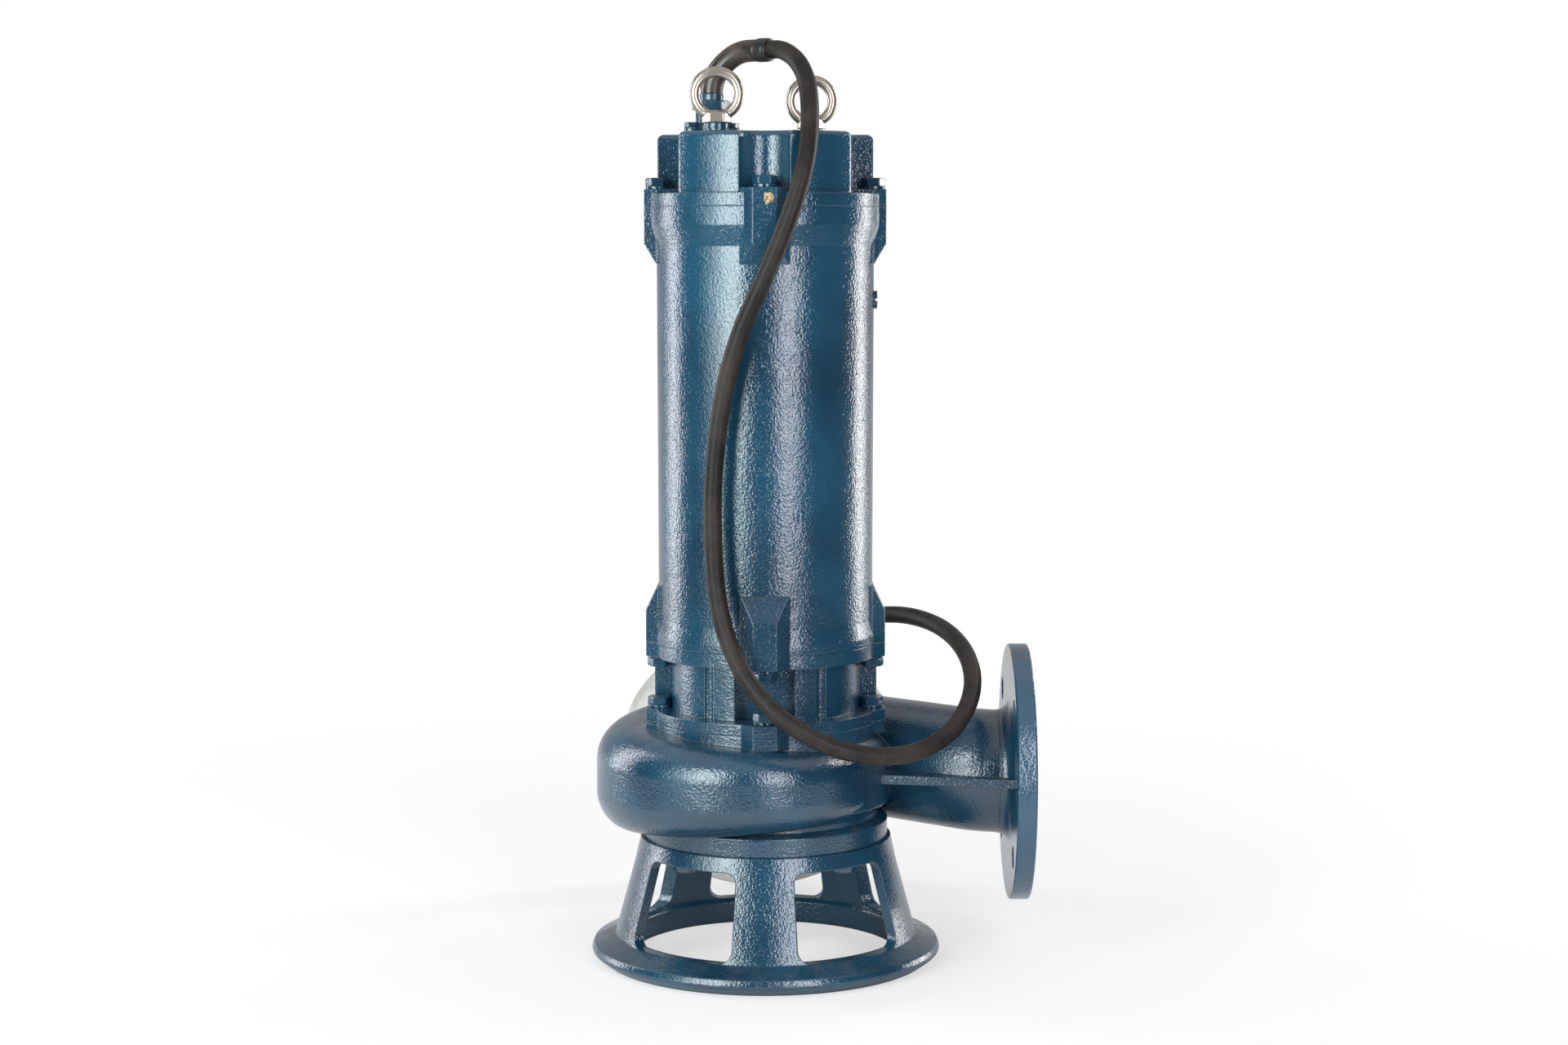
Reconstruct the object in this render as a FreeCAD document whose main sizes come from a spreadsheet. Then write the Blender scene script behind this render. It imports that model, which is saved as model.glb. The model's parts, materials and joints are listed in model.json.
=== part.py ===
import FreeCAD, Part
import math
import os
import Sketcher
from FreeCAD import Placement, Rotation, Vector

# Submersible sewage pump standing on its suction stand. Millimetres.
# The pump axis is Z, the floor is z = 0, the discharge flange looks along +X and -Y is the front.

# Driving dimensions
SIZES = {
    # suction stand
    "foot_inner_radius": 105.0,
    "foot_bottom_radius": 128.0,
    "foot_radius": 137.5,
    "foot_lip_height": 7.0,
    "foot_height": 20.0,
    "leg_foot_radius": 118.5,
    "leg_top_radius": 100.0,
    "leg_thickness": 10.0,
    "window_half_foot": 47.5,
    "window_half_top": 40.0,
    "window_corner": 9.0,
    "stand_ring_inner": 72.0,
    "stand_ring_radius": 98.0,
    "stand_ring_thickness": 11.3,
    "stand_height": 97.0,
    "stand_pitch_radius": 86.0,
    # volute casing
    "rim_radius": 95.5,
    "rim_thickness": 14.0,
    "volute_neck_radius": 88.0,
    "volute_core_radius": 97.0,
    "volute_wall": 9.5,
    "outlet_height": 146.0,
    "reach_tongue": 99.0,
    "reach_front": 115.0,
    "reach_left": 132.5,
    "reach_rear": 149.5,
    "half_tongue": 27.0,
    "half_front": 31.0,
    "half_left": 43.0,
    "half_rear": 48.0,
    "left_drop": 3.0,
    "chamber_radius": 72.0,
    "chamber_floor": 120.0,
    "joint_height": 188.0,
    "plate_thickness": 10.0,
    "plate_radius": 76.0,
    # discharge nozzle and flange
    "nozzle_radius": 48.0,
    "nozzle_bore": 40.0,
    "nozzle_turn": 40.0,
    "nozzle_bend": 90.0,
    "nozzle_back_bend": 48.0,
    "nozzle_end": 17.0,
    "outlet_reach": 205.0,
    "outlet_flange_radius": 100.0,
    "outlet_flange_thickness": 15.0,
    "outlet_pitch_radius": 80.0,
    "outlet_hole_radius": 9.0,
    "hub_fillet": 9.0,
    "hub_lip": 0.4,
    "web_thickness": 7.0,
    "web_start": 36.0,
    "web_end": 58.0,
    # suction wear ring
    "suction_radius": 40.0,
    "wear_ring_radius": 52.0,
    "wear_ring_height": 21.0,
    # oil chamber casing
    "oil_flange_radius": 86.0,
    "oil_lower_flange": 9.0,
    "oil_upper_flange": 11.0,
    "oil_casing_height": 61.5,
    "oil_neck_radius": 73.0,
    "oil_flat_depth": 56.0,
    "oil_flat_half": 23.0,
    "oil_chamber_radius": 47.0,
    "oil_chamber_depth": 40.0,
    "oil_groove_radius": 4.0,
    "pillar_reach": 87.0,
    "pillar_near": 9.5,
    "pillar_far": 18.0,
    "bearing_boss_radius": 50.0,
    "spigot_depth": 7.5,
    # flange lugs and their bolts
    "lug_reach": 93.0,
    "lug_half_front": 9.0,
    "lug_half_base": 18.5,
    "bolt_pitch_radius": 83.0,
    "bolt_radius": 5.0,
    "bolt_flats": 16.0,
    "bolt_head": 6.4,
    "washer_radius": 9.0,
    "washer_thickness": 2.5,
    "washer_split": 1.4,
    # motor casing
    "motor_height": 336.5,
    "motor_foot_radius": 85.5,
    "motor_low_radius": 83.2,
    "motor_high_radius": 83.8,
    "motor_top_radius": 88.0,
    "motor_foot_band": 6.5,
    "motor_foot_taper": 12.0,
    "motor_top_band": 14.0,
    "motor_top_taper": 16.0,
    "motor_bore": 74.2,
    "bracket_recess": 24.0,
    "bracket_radius": 77.0,
    "low_lug_height": 25.0,
    "low_lug_slope": 19.5,
    "high_lug_height": 28.0,
    "high_lug_slope": 15.0,
    "plug_height": 515.0,
    "plug_seat": 82.3,
    "plug_head_radius": 7.0,
    "plug_head": 4.0,
    "plug_radius": 5.0,
    "plug_length": 7.2,
    # top cover
    "cover_flange": 10.0,
    "cover_lug": 13.5,
    "cover_radius": 84.0,
    "cover_height": 56.0,
    "cover_roof": 8.0,
    "cover_bore": 57.0,
    "cover_edge": 5.0,
    "scallop_radius": 19.5,
    "scallop_pitch": 86.0,
    "side_cut": 65.0,
    "side_cut_rear": 10.5,
    "side_cut_corner": 6.0,
    "cover_spigot_inner": 62.0,
    "cover_spigot": 6.0,
    # lifting eyes
    "eye_across": 36.0,
    "eye_along": 53.0,
    "eye_pad_radius": 8.5,
    "eye_pad": 6.0,
    "eye_flats": 19.4,
    "eye_collar": 8.0,
    "eye_ring_radius": 16.5,
    "eye_wire": 4.0,
    "eye_ring_rise": 21.5,
    "eye_shank": 12.0,
    # cable gland
    "gland_across": 41.0,
    "gland_flange": 4.5,
    "gland_ear_radius": 6.2,
    "gland_ear_across": 15.0,
    "gland_ear_along": 8.0,
    "gland_radius": 12.4,
    "gland_height": 18.0,
    "gland_bore": 10.2,
    "gland_nut_flats": 26.0,
    "gland_nut": 7.2,
    "gland_neck_radius": 9.0,
    "gland_neck": 5.0,
    "small_bolt_radius": 3.0,
    "small_bolt_flats": 10.0,
    "small_bolt_head": 4.0,
    "small_bolt_length": 10.0,
    # cable
    "cable_radius": 6.9,
    "sleeve_radius": 8.5,
    "band_radius": 9.1,
    "band_length": 11.0,
    "tail_depth": 48.0,
    "coil_mean_radius": 99.0,
    "coil_half_radial": 22.5,
    "coil_half_axial": 28.5,
    "coil_corner": 17.0,
    "coil_lean": 27.0,
    "coil_across": 7.0,
    "coil_along": 204.5,
    # motor inside
    "stack_bottom": 345.0,
    "stack_length": 120.0,
    "stator_inner": 46.2,
    "rotor_radius": 45.6,
    "winding_inner": 50.0,
    "winding_outer": 70.0,
    "winding_height": 35.0,
    "winding_round": 8.0,
    "end_ring_inner": 30.0,
    "end_ring_outer": 44.0,
    "end_ring_height": 12.0,
    # shaft, seals and bearings
    "shaft_end": 138.0,
    "impeller_seat_radius": 10.0,
    "seal_seat_radius": 12.5,
    "low_bearing_seat": 17.5,
    "shaft_collar": 21.0,
    "rotor_seat_radius": 19.0,
    "shaft_neck": 16.0,
    "high_bearing_seat": 12.5,
    "low_bearing_bottom": 237.0,
    "low_bearing_width": 21.0,
    "low_bearing_radius": 40.0,
    "low_race_inner": 24.0,
    "low_race_outer": 33.5,
    "low_ball_pitch": 28.75,
    "low_ball_radius": 6.75,
    "high_bearing_bottom": 551.0,
    "high_bearing_width": 17.0,
    "high_bearing_radius": 31.0,
    "high_race_inner": 18.0,
    "high_race_outer": 25.5,
    "high_ball_pitch": 21.75,
    "high_ball_radius": 5.75,
    "cage_wall": 2.0,
    "cage_edge": 1.4,
    "seal_radius": 20.0,
    "seal_bore": 13.5,
    "seal_seat": 9.0,
    "seal_head": 9.7,
    "seal_head_radius": 18.6,
    "spring_wire": 1.5,
    "spring_radius": 16.5,
    # impeller
    "impeller_radius": 69.5,
    "impeller_hub": 20.0,
    "impeller_top": 172.0,
    "shroud_thickness": 6.0,
    "vane_thickness": 5.5,
    "vane_clearance": 1.0,
    "vane_wrap": 105.0,
    "key_width": 6.0,
    "key_depth": 3.0,
    "key_length": 28.0,
    # seals in grooves and fits
    "ring_wire": 1.6,
    "fit_gap": 0.15,
    "running_gap": 0.3,
}

CASING_BOLTS = 4
STAND_LEGS = 5
LOW_BALLS = 8
HIGH_BALLS = 7
VANES = 3
SPRING_TURNS = 4
TONGUE_AZIMUTH = -40.0
SPIRAL_SWEEP = {"tongue": 0.0, "front": 50.0, "left": 140.0, "rear": 230.0}
SPIRAL_SECTIONS = 11
HEX_CORNER = 1 / math.sqrt(3)

doc = FreeCAD.newDocument("sewage_pump")
sheet = doc.addObject("Spreadsheet::Sheet", "Sizes")
for row, (alias, number) in enumerate(SIZES.items(), start=1):
    sheet.set(f"A{row}", alias)
    sheet.set(f"B{row}", str(number))
    sheet.setAlias(f"B{row}", alias)
doc.recompute()


class Size:
    """A length with the sheet expression that gives it."""

    def __init__(self, value, text):
        self.value = float(value)
        self.text = text

    def __add__(self, other):
        other = sized(other)
        return Size(self.value + other.value, f"({self.text} + {other.text})")

    def __radd__(self, other):
        return sized(other) + self

    def __sub__(self, other):
        other = sized(other)
        return Size(self.value - other.value, f"({self.text} - {other.text})")

    def __rsub__(self, other):
        return sized(other) - self

    def __mul__(self, other):
        other = sized(other)
        return Size(self.value * other.value, f"({self.text} * {other.text})")

    def __rmul__(self, other):
        return sized(other) * self

    def __neg__(self):
        return Size(-self.value, f"(-1 * {self.text})")


def sized(number):
    """A plain number as a Size; a Size stays itself."""
    if isinstance(number, Size):
        return number
    return Size(number, repr(float(number)))


class Sheet:
    """The driving dimensions by name, read from the sheet."""

    def __getattr__(self, alias):
        return Size(sheet.get(alias), f"Sizes.{alias}")


d = Sheet()
nodes = {}


def keep(item, name):
    """Register the finished object of one sub-part."""
    item.Label = name
    nodes[name] = item
    return item


def bind(item, **sizes):
    for name, size in sizes.items():
        item.setExpression(name, sized(size).text)
    return item


def move(item, x=0, y=0, z=0):
    for letter, size in zip("xyz", (x, y, z)):
        item.setExpression(f"Placement.Base.{letter}", sized(size).text)
    return item


def polar(radius, azimuth):
    """Plan position at an azimuth in degrees."""
    angle = math.radians(azimuth)
    return radius * round(math.cos(angle), 9), radius * round(math.sin(angle), 9)


def around(count, start=0.0):
    return [start + k * 360.0 / count for k in range(count)]


# Primitives and booleans bound to the sheet

def cylinder(name, radius, bottom, top, x=0, y=0):
    item = doc.addObject("Part::Cylinder", name)
    bind(item, Radius=radius, Height=top - bottom)
    return move(item, x, y, bottom)


def cone(name, low_radius, high_radius, bottom, top, x=0, y=0):
    item = doc.addObject("Part::Cone", name)
    bind(item, Radius1=low_radius, Radius2=high_radius, Height=top - bottom)
    return move(item, x, y, bottom)


def box(name, length, width, bottom, top, x, y, azimuth=0.0):
    """A box with its near left corner at x, y before it is turned about that corner."""
    item = doc.addObject("Part::Box", name)
    item.Placement = Placement(Vector(), Rotation(Vector(0, 0, 1), azimuth))
    bind(item, Length=length, Width=width, Height=top - bottom)
    return move(item, x, y, bottom)


def torus(name, major, minor, height, x=0, y=0, upright=False):
    item = doc.addObject("Part::Torus", name)
    if upright:
        item.Placement = Placement(Vector(), Rotation(Vector(1, 0, 0), 90))
    bind(item, Radius1=major, Radius2=minor)
    return move(item, x, y, height)


def cut(name, base, *tools):
    item = doc.addObject("Part::Cut", name)
    item.Base = base
    item.Tool = tools[0] if len(tools) == 1 else fuse(f"{name}_tools", *tools)
    return item


def fuse(name, *shapes):
    item = doc.addObject("Part::MultiFuse", name)
    item.Shapes = list(shapes)
    return item


def common(name, *shapes):
    item = doc.addObject("Part::MultiCommon", name)
    item.Shapes = list(shapes)
    return item


def tube(name, outer, inner, bottom, top, x=0, y=0):
    outside = cylinder(f"{name}_outside", outer, bottom, top, x, y)
    inside = cylinder(f"{name}_inside", inner, bottom, top, x, y)
    return cut(name, outside, inside)


def group(name, items):
    item = doc.addObject("Part::Compound", name)
    item.Links = items
    return item


def shaped(name, shape):
    item = doc.addObject("Part::Feature", name)
    item.Shape = shape
    return item


# Bodies made from sketches

def origin_feature(body, role):
    return next(f for f in body.Origin.OriginFeatures if f.Role == role)


def new_sketch(body, name, plane, offset=0):
    sketch = body.newObject("Sketcher::SketchObject", name)
    sketch.AttachmentSupport = (origin_feature(body, plane), [""])
    sketch.MapMode = "FlatFace"
    sketch.setExpression("AttachmentOffset.Base.z", sized(offset).text)
    return sketch


def pin(sketch, geometry, end, x, y):
    """Hold one point of a sketch at x, y by sizes, or on an axis where it is zero."""
    for kind, axis, size in (("DistanceX", -2, x), ("DistanceY", -1, y)):
        if not isinstance(size, Size) and size == 0:
            sketch.addConstraint(Sketcher.Constraint("PointOnObject", geometry, end, axis))
            continue
        size = sized(size)
        held = Sketcher.Constraint(kind, -1, 1, geometry, end, size.value)
        index = sketch.addConstraint(held)
        sketch.setExpression(f"Constraints[{index}]", size.text)


def outline(sketch, corners):
    """A closed straight outline."""
    flat = [Vector(sized(x).value, sized(y).value, 0) for x, y in corners]
    count = len(flat)
    first = sketch.GeometryCount
    sides = [Part.LineSegment(flat[k], flat[(k + 1) % count]) for k in range(count)]
    sketch.addGeometry(sides, False)
    for k in range(count):
        after = first + (k + 1) % count
        sketch.addConstraint(Sketcher.Constraint("Coincident", first + k, 2, after, 1))
    for k, (x, y) in enumerate(corners):
        pin(sketch, first + k, 1, x, y)


def rounded_outline(sketch, corners, radius):
    """A closed convex outline, given anticlockwise, with every corner rounded."""
    flat = [Vector(sized(x).value, sized(y).value, 0) for x, y in corners]
    count = len(flat)
    starts, ends, arcs = [], [], []
    for k, corner in enumerate(flat):
        back = (flat[k - 1] - corner).normalize()
        ahead = (flat[(k + 1) % count] - corner).normalize()
        half = back.getAngle(ahead) / 2
        reach = radius.value / math.tan(half)
        middle = (back + ahead).normalize()
        centre = corner + middle * (radius.value / math.sin(half))
        ends.append(corner + back * reach)
        starts.append(corner + ahead * reach)
        arcs.append(Part.Arc(ends[k], centre - middle * radius.value, starts[k]))
    lines = [Part.LineSegment(starts[k], ends[(k + 1) % count]) for k in range(count)]
    sketch.addGeometry(lines + arcs, False)
    points = sketch.addGeometry([Part.Point(p) for p in flat], True)
    for k in range(count):
        arc, before, after, point = count + k, (k - 1) % count, k, points[k]
        sketch.addConstraint(Sketcher.Constraint("Tangent", before, 2, arc, 1))
        sketch.addConstraint(Sketcher.Constraint("Tangent", arc, 2, after, 1))
        sketch.addConstraint(Sketcher.Constraint("PointOnObject", point, 1, before))
        sketch.addConstraint(Sketcher.Constraint("PointOnObject", point, 1, after))
        index = sketch.addConstraint(Sketcher.Constraint("Radius", arc, radius.value))
        sketch.setExpression(f"Constraints[{index}]", radius.text)
        pin(sketch, point, 1, *corners[k])


def circles(sketch, places):
    for x, y, radius in places:
        centre = Vector(sized(x).value, sized(y).value, 0)
        round_line = Part.Circle(centre, Vector(0, 0, 1), radius.value)
        index = sketch.addGeometry(round_line, False)
        pin(sketch, index, 3, x, y)
        held = sketch.addConstraint(Sketcher.Constraint("Radius", index, radius.value))
        sketch.setExpression(f"Constraints[{held}]", radius.text)


def turned(name, corners):
    """A body turned about the pump axis from its half section."""
    body = doc.addObject("PartDesign::Body", name)
    sketch = new_sketch(body, f"{name}_section", "XZ_Plane")
    outline(sketch, corners)
    turn = body.newObject("PartDesign::Revolution", f"{name}_turn")
    turn.Profile = sketch
    turn.ReferenceAxis = (sketch, ["V_Axis"])
    turn.Angle = 360
    return body


def pad(body, name, sketch, length):
    item = body.newObject("PartDesign::Pad", name)
    item.Profile = sketch
    return bind(item, Length=length)


def pocket(body, name, sketch, length, against=False, midplane=False):
    item = body.newObject("PartDesign::Pocket", name)
    item.Profile = sketch
    item.Reversed = against
    item.Midplane = midplane
    return bind(item, Length=length)


def repeat(body, name, features, count):
    item = body.newObject("PartDesign::PolarPattern", name)
    item.Originals = features
    item.Axis = (origin_feature(body, "Z_Axis"), [""])
    item.Angle = 360
    item.Occurrences = count
    body.Tip = item
    return item


def holes_down(body, name, places, top, depth):
    """Round holes sunk from the height top; places hold x, y and radius."""
    sketch = new_sketch(body, f"{name}_plan", "XY_Plane", top)
    circles(sketch, places)
    return pocket(body, name, sketch, depth)


def holes_up(body, name, places, bottom, depth):
    sketch = new_sketch(body, f"{name}_plan", "XY_Plane", bottom)
    circles(sketch, places)
    return pocket(body, name, sketch, depth, against=True)


def round_edges(body, name, radius, chosen):
    """Round the edges of the body's tip that chosen() accepts."""
    doc.recompute()
    base = body.Tip
    edges = enumerate(base.Shape.Edges, start=1)
    names = [f"Edge{k}" for k, edge in edges if chosen(edge)]
    item = body.newObject("PartDesign::Fillet", name)
    item.Base = (base, names)
    return bind(item, Radius=radius)


def rim_at(radius, height):
    """Test for full circles about the pump axis with this radius and height."""

    def chosen(edge):
        round_line = isinstance(edge.Curve, Part.Circle)
        return (
            round_line
            and abs(edge.Curve.Radius - radius.value) < 0.01
            and abs(edge.Curve.Center.z - height.value) < 0.01
        )

    return chosen


def lug_plan(inner):
    """Plan of one casting lug on +X: flared sides and a narrow front."""
    shoulder = d.lug_reach - (d.lug_half_base - d.lug_half_front)
    return [
        (inner, -d.lug_half_base),
        (shoulder, -d.lug_half_base),
        (d.lug_reach, -d.lug_half_front),
        (d.lug_reach, d.lug_half_front),
        (shoulder, d.lug_half_base),
        (inner, d.lug_half_base),
    ]


def add_lugs(body, name, inner, bottom, top):
    sketch = new_sketch(body, f"{name}_plan", "XY_Plane", bottom)
    outline(sketch, lug_plan(inner))
    return pad(body, name, sketch, top - bottom)


# Heights that several sub-parts share
STAND_TOP = d.stand_height
JOINT = d.joint_height
MOTOR_FOOT = JOINT + d.oil_casing_height
MOTOR_TOP = MOTOR_FOOT + d.motor_height
COVER_TOP = MOTOR_TOP + d.cover_height
ROOF_UNDER = COVER_TOP - d.cover_roof
BRACKET_FLOOR = MOTOR_TOP - d.bracket_recess
PLATE_FLOOR = JOINT - d.plate_thickness
LOW_FLANGE_TOP = JOINT + d.oil_lower_flange
HIGH_FLANGE_UNDER = MOTOR_FOOT - d.oil_upper_flange
COVER_LUG_TOP = MOTOR_TOP + d.cover_lug
BOLT_AZIMUTHS = around(CASING_BOLTS)
STAND_BOLT_AZIMUTHS = around(CASING_BOLTS, 45.0)
THREAD_HOLE = d.bolt_radius + d.fit_gap
CLEAR_HOLE = d.bolt_radius + 0.5
BOLT_GRIP = d.bolt_radius * 1.8


def bolt_places(radius, azimuths=BOLT_AZIMUTHS, pitch=d.bolt_pitch_radius):
    return [(*polar(pitch, a), radius) for a in azimuths]


# Fasteners

def hex_head(name, flats, bottom, top, x, y, upward=True):
    """A hexagon whose outer face is chamfered by a wide cone."""
    prism = doc.addObject("Part::Prism", f"{name}_prism")
    prism.Polygon = 6
    bind(prism, Circumradius=flats * HEX_CORNER, Height=top - bottom)
    move(prism, x, y, bottom)
    narrow = flats * 0.475
    wide = narrow + (top - bottom) * math.sqrt(3)
    low, high = (wide, narrow) if upward else (narrow, wide)
    return common(name, prism, cone(f"{name}_cone", low, high, bottom, top, x, y))


def bolt(name, x, y, seat, length, radius, flats, head, upward=True):
    """A hexagon bolt with the underside of its head at seat."""
    if upward:
        top = hex_head(f"{name}_head", flats, seat, seat + head, x, y)
        shank = cylinder(f"{name}_shank", radius, seat - length, seat, x, y)
    else:
        top = hex_head(f"{name}_head", flats, seat - head, seat, x, y, upward=False)
        shank = cylinder(f"{name}_shank", radius, seat, seat + length, x, y)
    return fuse(name, top, shank)


def bolt_set(name, azimuths, pitch, seat, length, upward=True):
    bolts = []
    for k, azimuth in enumerate(azimuths, start=1):
        x, y = polar(pitch, azimuth)
        size = (d.bolt_radius, d.bolt_flats, d.bolt_head)
        bolts.append(bolt(f"{name}_{k}", x, y, seat, length, *size, upward=upward))
    keep(group(name, bolts), name)


def washer_set(name, azimuths, pitch, bottom):
    """Split spring washers, the split turned outward."""
    washers = []
    for k, azimuth in enumerate(azimuths, start=1):
        x, y = polar(pitch, azimuth)
        top = bottom + d.washer_thickness
        ring = tube(f"{name}_ring_{k}", d.washer_radius, d.bolt_radius + 0.3, bottom, top, x, y)
        side_x, side_y = polar(d.washer_split * 0.5, azimuth - 90.0)
        slot = box(
            f"{name}_slot_{k}", d.washer_radius * 1.2, d.washer_split, bottom, top,
            x + side_x, y + side_y, azimuth,
        )
        washers.append(cut(f"{name}_{k}", ring, slot))
    keep(group(name, washers), name)


def make_fasteners():
    ring_under = STAND_TOP - d.stand_ring_thickness
    grip = d.stand_ring_thickness + d.rim_thickness - 2.0
    bolt_set("stand_bolts", STAND_BOLT_AZIMUTHS, d.stand_pitch_radius, ring_under, grip, False)
    seat = LOW_FLANGE_TOP + d.washer_thickness
    length = d.washer_thickness + d.oil_lower_flange + BOLT_GRIP
    washer_set("volute_washers", BOLT_AZIMUTHS, d.bolt_pitch_radius, LOW_FLANGE_TOP)
    bolt_set("volute_bolts", BOLT_AZIMUTHS, d.bolt_pitch_radius, seat, length)
    seat = HIGH_FLANGE_UNDER - d.washer_thickness
    length = d.washer_thickness + d.oil_upper_flange + BOLT_GRIP
    washer_set("motor_joint_washers", BOLT_AZIMUTHS, d.bolt_pitch_radius, seat)
    bolt_set("motor_joint_bolts", BOLT_AZIMUTHS, d.bolt_pitch_radius, seat, length, False)
    seat = COVER_LUG_TOP + d.washer_thickness
    length = d.washer_thickness + d.cover_lug + BOLT_GRIP * 2
    washer_set("cover_washers", BOLT_AZIMUTHS, d.bolt_pitch_radius, COVER_LUG_TOP)
    bolt_set("cover_bolts", BOLT_AZIMUTHS, d.bolt_pitch_radius, seat, length)


# Suction stand

def make_stand():
    """A bell shaped casting with a ring foot, sloping legs and a bolting ring."""
    ring_under = STAND_TOP - d.stand_ring_thickness
    body = turned("stand_body", [
        (d.foot_inner_radius, 0),
        (d.foot_bottom_radius, 0),
        (d.foot_radius, d.foot_lip_height),
        (d.foot_radius - 2.5, d.foot_height * 0.65),
        (d.leg_foot_radius, d.foot_height),
        (d.leg_top_radius, ring_under + 2.0),
        (d.stand_ring_radius, STAND_TOP),
        (d.stand_ring_inner, STAND_TOP),
        (d.stand_ring_inner, ring_under),
        (d.leg_top_radius - d.leg_thickness, ring_under),
        (d.leg_foot_radius - d.leg_thickness, d.foot_height),
        (d.foot_inner_radius, d.foot_height - 3.0),
    ])
    round_edges(body, "stand_foot_round", d.foot_lip_height * 0.55, rim_at(d.foot_radius, d.foot_lip_height))
    sketch = new_sketch(body, "stand_window_view", "XZ_Plane")
    low, high = d.foot_height, ring_under
    rounded_outline(sketch, [
        (-d.window_half_foot, low),
        (d.window_half_foot, low),
        (d.window_half_top, high),
        (-d.window_half_top, high),
    ], d.window_corner)
    window = pocket(body, "stand_window", sketch, d.foot_radius)
    repeat(body, "stand_windows", [window], STAND_LEGS)
    spots = bolt_places(d.bolt_flats * 0.7, STAND_BOLT_AZIMUTHS, d.stand_pitch_radius)
    holes_down(body, "stand_spotfaces", spots, ring_under, ring_under - d.foot_height)
    places = bolt_places(CLEAR_HOLE, STAND_BOLT_AZIMUTHS, d.stand_pitch_radius)
    holes_down(body, "stand_holes", places, STAND_TOP, d.stand_ring_thickness)
    keep(body, "stand")


# Volute casing

def between(swept, values):
    """Value at a swept angle from values at the tongue, front, left and rear."""
    stations = sorted(zip(SPIRAL_SWEEP.values(), values))
    for (low, first), (high, last) in zip(stations, stations[1:]):
        if swept <= high:
            return first + (last - first) * (swept - low) / (high - low)
    return stations[-1][1]


def spiral_section(azimuth, core, reach, centre, half, corner):
    """Half section of the spiral: flat towards the axis, round outside."""
    low, high = centre - half, centre + half
    bend = corner * (1 - math.sqrt(0.5))

    def at(radius, height):
        x, y = polar(radius, azimuth)
        return Vector(x, y, height)

    lower_bend = (at(reach - corner, low), at(reach - bend, low + bend), at(reach, low + corner))
    upper_bend = (at(reach, high - corner), at(reach - bend, high - bend), at(reach - corner, high))
    return Part.Wire([
        Part.LineSegment(at(core, low), lower_bend[0]).toShape(),
        Part.Arc(*lower_bend).toShape(),
        Part.LineSegment(lower_bend[2], upper_bend[0]).toShape(),
        Part.Arc(*upper_bend).toShape(),
        Part.LineSegment(upper_bend[2], at(core, high)).toShape(),
        Part.LineSegment(at(core, high), at(core, low)).toShape(),
    ])


def spiral(wall, core):
    """The spiral, growing from the tongue over front and left to the rear."""
    reaches = (d.reach_tongue, d.reach_front, d.reach_left, d.reach_rear)
    halves = (d.half_tongue, d.half_front, d.half_left, d.half_rear)
    reaches = [size.value for size in reaches]
    halves = [size.value for size in halves]
    level = d.outlet_height.value
    centres = (level, level + 1.0, level - d.left_drop.value, level)
    rounds = (0.75, 0.72, 0.7, 0.93)
    sections = []
    for k in range(SPIRAL_SECTIONS):
        swept = SPIRAL_SWEEP["rear"] * k / (SPIRAL_SECTIONS - 1)
        half = between(swept, halves) - wall
        sections.append(spiral_section(
            TONGUE_AZIMUTH - swept,
            core,
            between(swept, reaches) - wall,
            between(swept, centres),
            half,
            half * between(swept, rounds),
        ))
    return Part.makeLoft(sections, True, False)


def nozzle_path(level):
    """Centre line from the rear of the volute, bent forward and back to the flange."""
    turn = math.radians(d.nozzle_turn.value)
    first, second = d.nozzle_bend.value, d.nozzle_back_bend.value
    side = d.reach_rear.value - d.nozzle_radius.value
    slant = (side - (first + second) * (1 - math.cos(turn))) / math.sin(turn)
    end = d.outlet_reach.value - d.nozzle_end.value
    start = end - (first + second) * math.sin(turn) - slant * math.cos(turn)

    def at(x, y):
        return Vector(x, y, level)

    def bent(x, y, radius, angle, side_sign):
        """Point on a bend whose centre lies beside x, y."""
        centre_y = y - side_sign * radius
        return at(x + radius * math.sin(angle), centre_y + side_sign * radius * math.cos(angle))

    bend_out = bent(start, side, first, turn, 1)
    mid_out = bent(start, side, first, turn / 2, 1)
    bend_in = bent(end, 0, second, -turn, -1)
    mid_in = bent(end, 0, second, -turn / 2, -1)
    return Part.Wire([
        Part.LineSegment(at(0, side), at(start, side)).toShape(),
        Part.Arc(at(start, side), mid_out, bend_out).toShape(),
        Part.LineSegment(bend_out, bend_in).toShape(),
        Part.Arc(bend_in, mid_in, at(end, 0)).toShape(),
        Part.LineSegment(at(end, 0), at(d.outlet_reach.value, 0)).toShape(),
    ])


def nozzle(radius):
    level = d.outlet_height.value
    path = nozzle_path(level)
    start = path.Edges[0].Vertexes[0].Point
    round_line = Part.Wire(Part.Circle(start, Vector(1, 0, 0), radius).toShape())
    return path.makePipeShell([round_line], True, False)


def turned_solid(corners):
    """A solid turned about the pump axis from corners given as radius and height."""
    flat = [Vector(sized(r).value, 0, sized(z).value) for r, z in corners]
    face = Part.Face(Part.makePolygon(flat + flat[:1]))
    return face.revolve(Vector(), Vector(0, 0, 1), 360)


def lug_solids(inner, bottom, top):
    flat = [Vector(x.value, y.value, bottom.value) for x, y in lug_plan(inner)]
    lug = Part.Face(Part.makePolygon(flat + flat[:1])).extrude(Vector(0, 0, (top - bottom).value))
    return [lug.rotated(Vector(), Vector(0, 0, 1), a) for a in BOLT_AZIMUTHS]


def drilled(radius, bottom, depth, pitch, azimuths):
    solids = []
    for azimuth in azimuths:
        x, y = polar(pitch.value, azimuth)
        solids.append(Part.makeCylinder(radius.value, depth, Vector(x, y, bottom)))
    return solids


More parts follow.
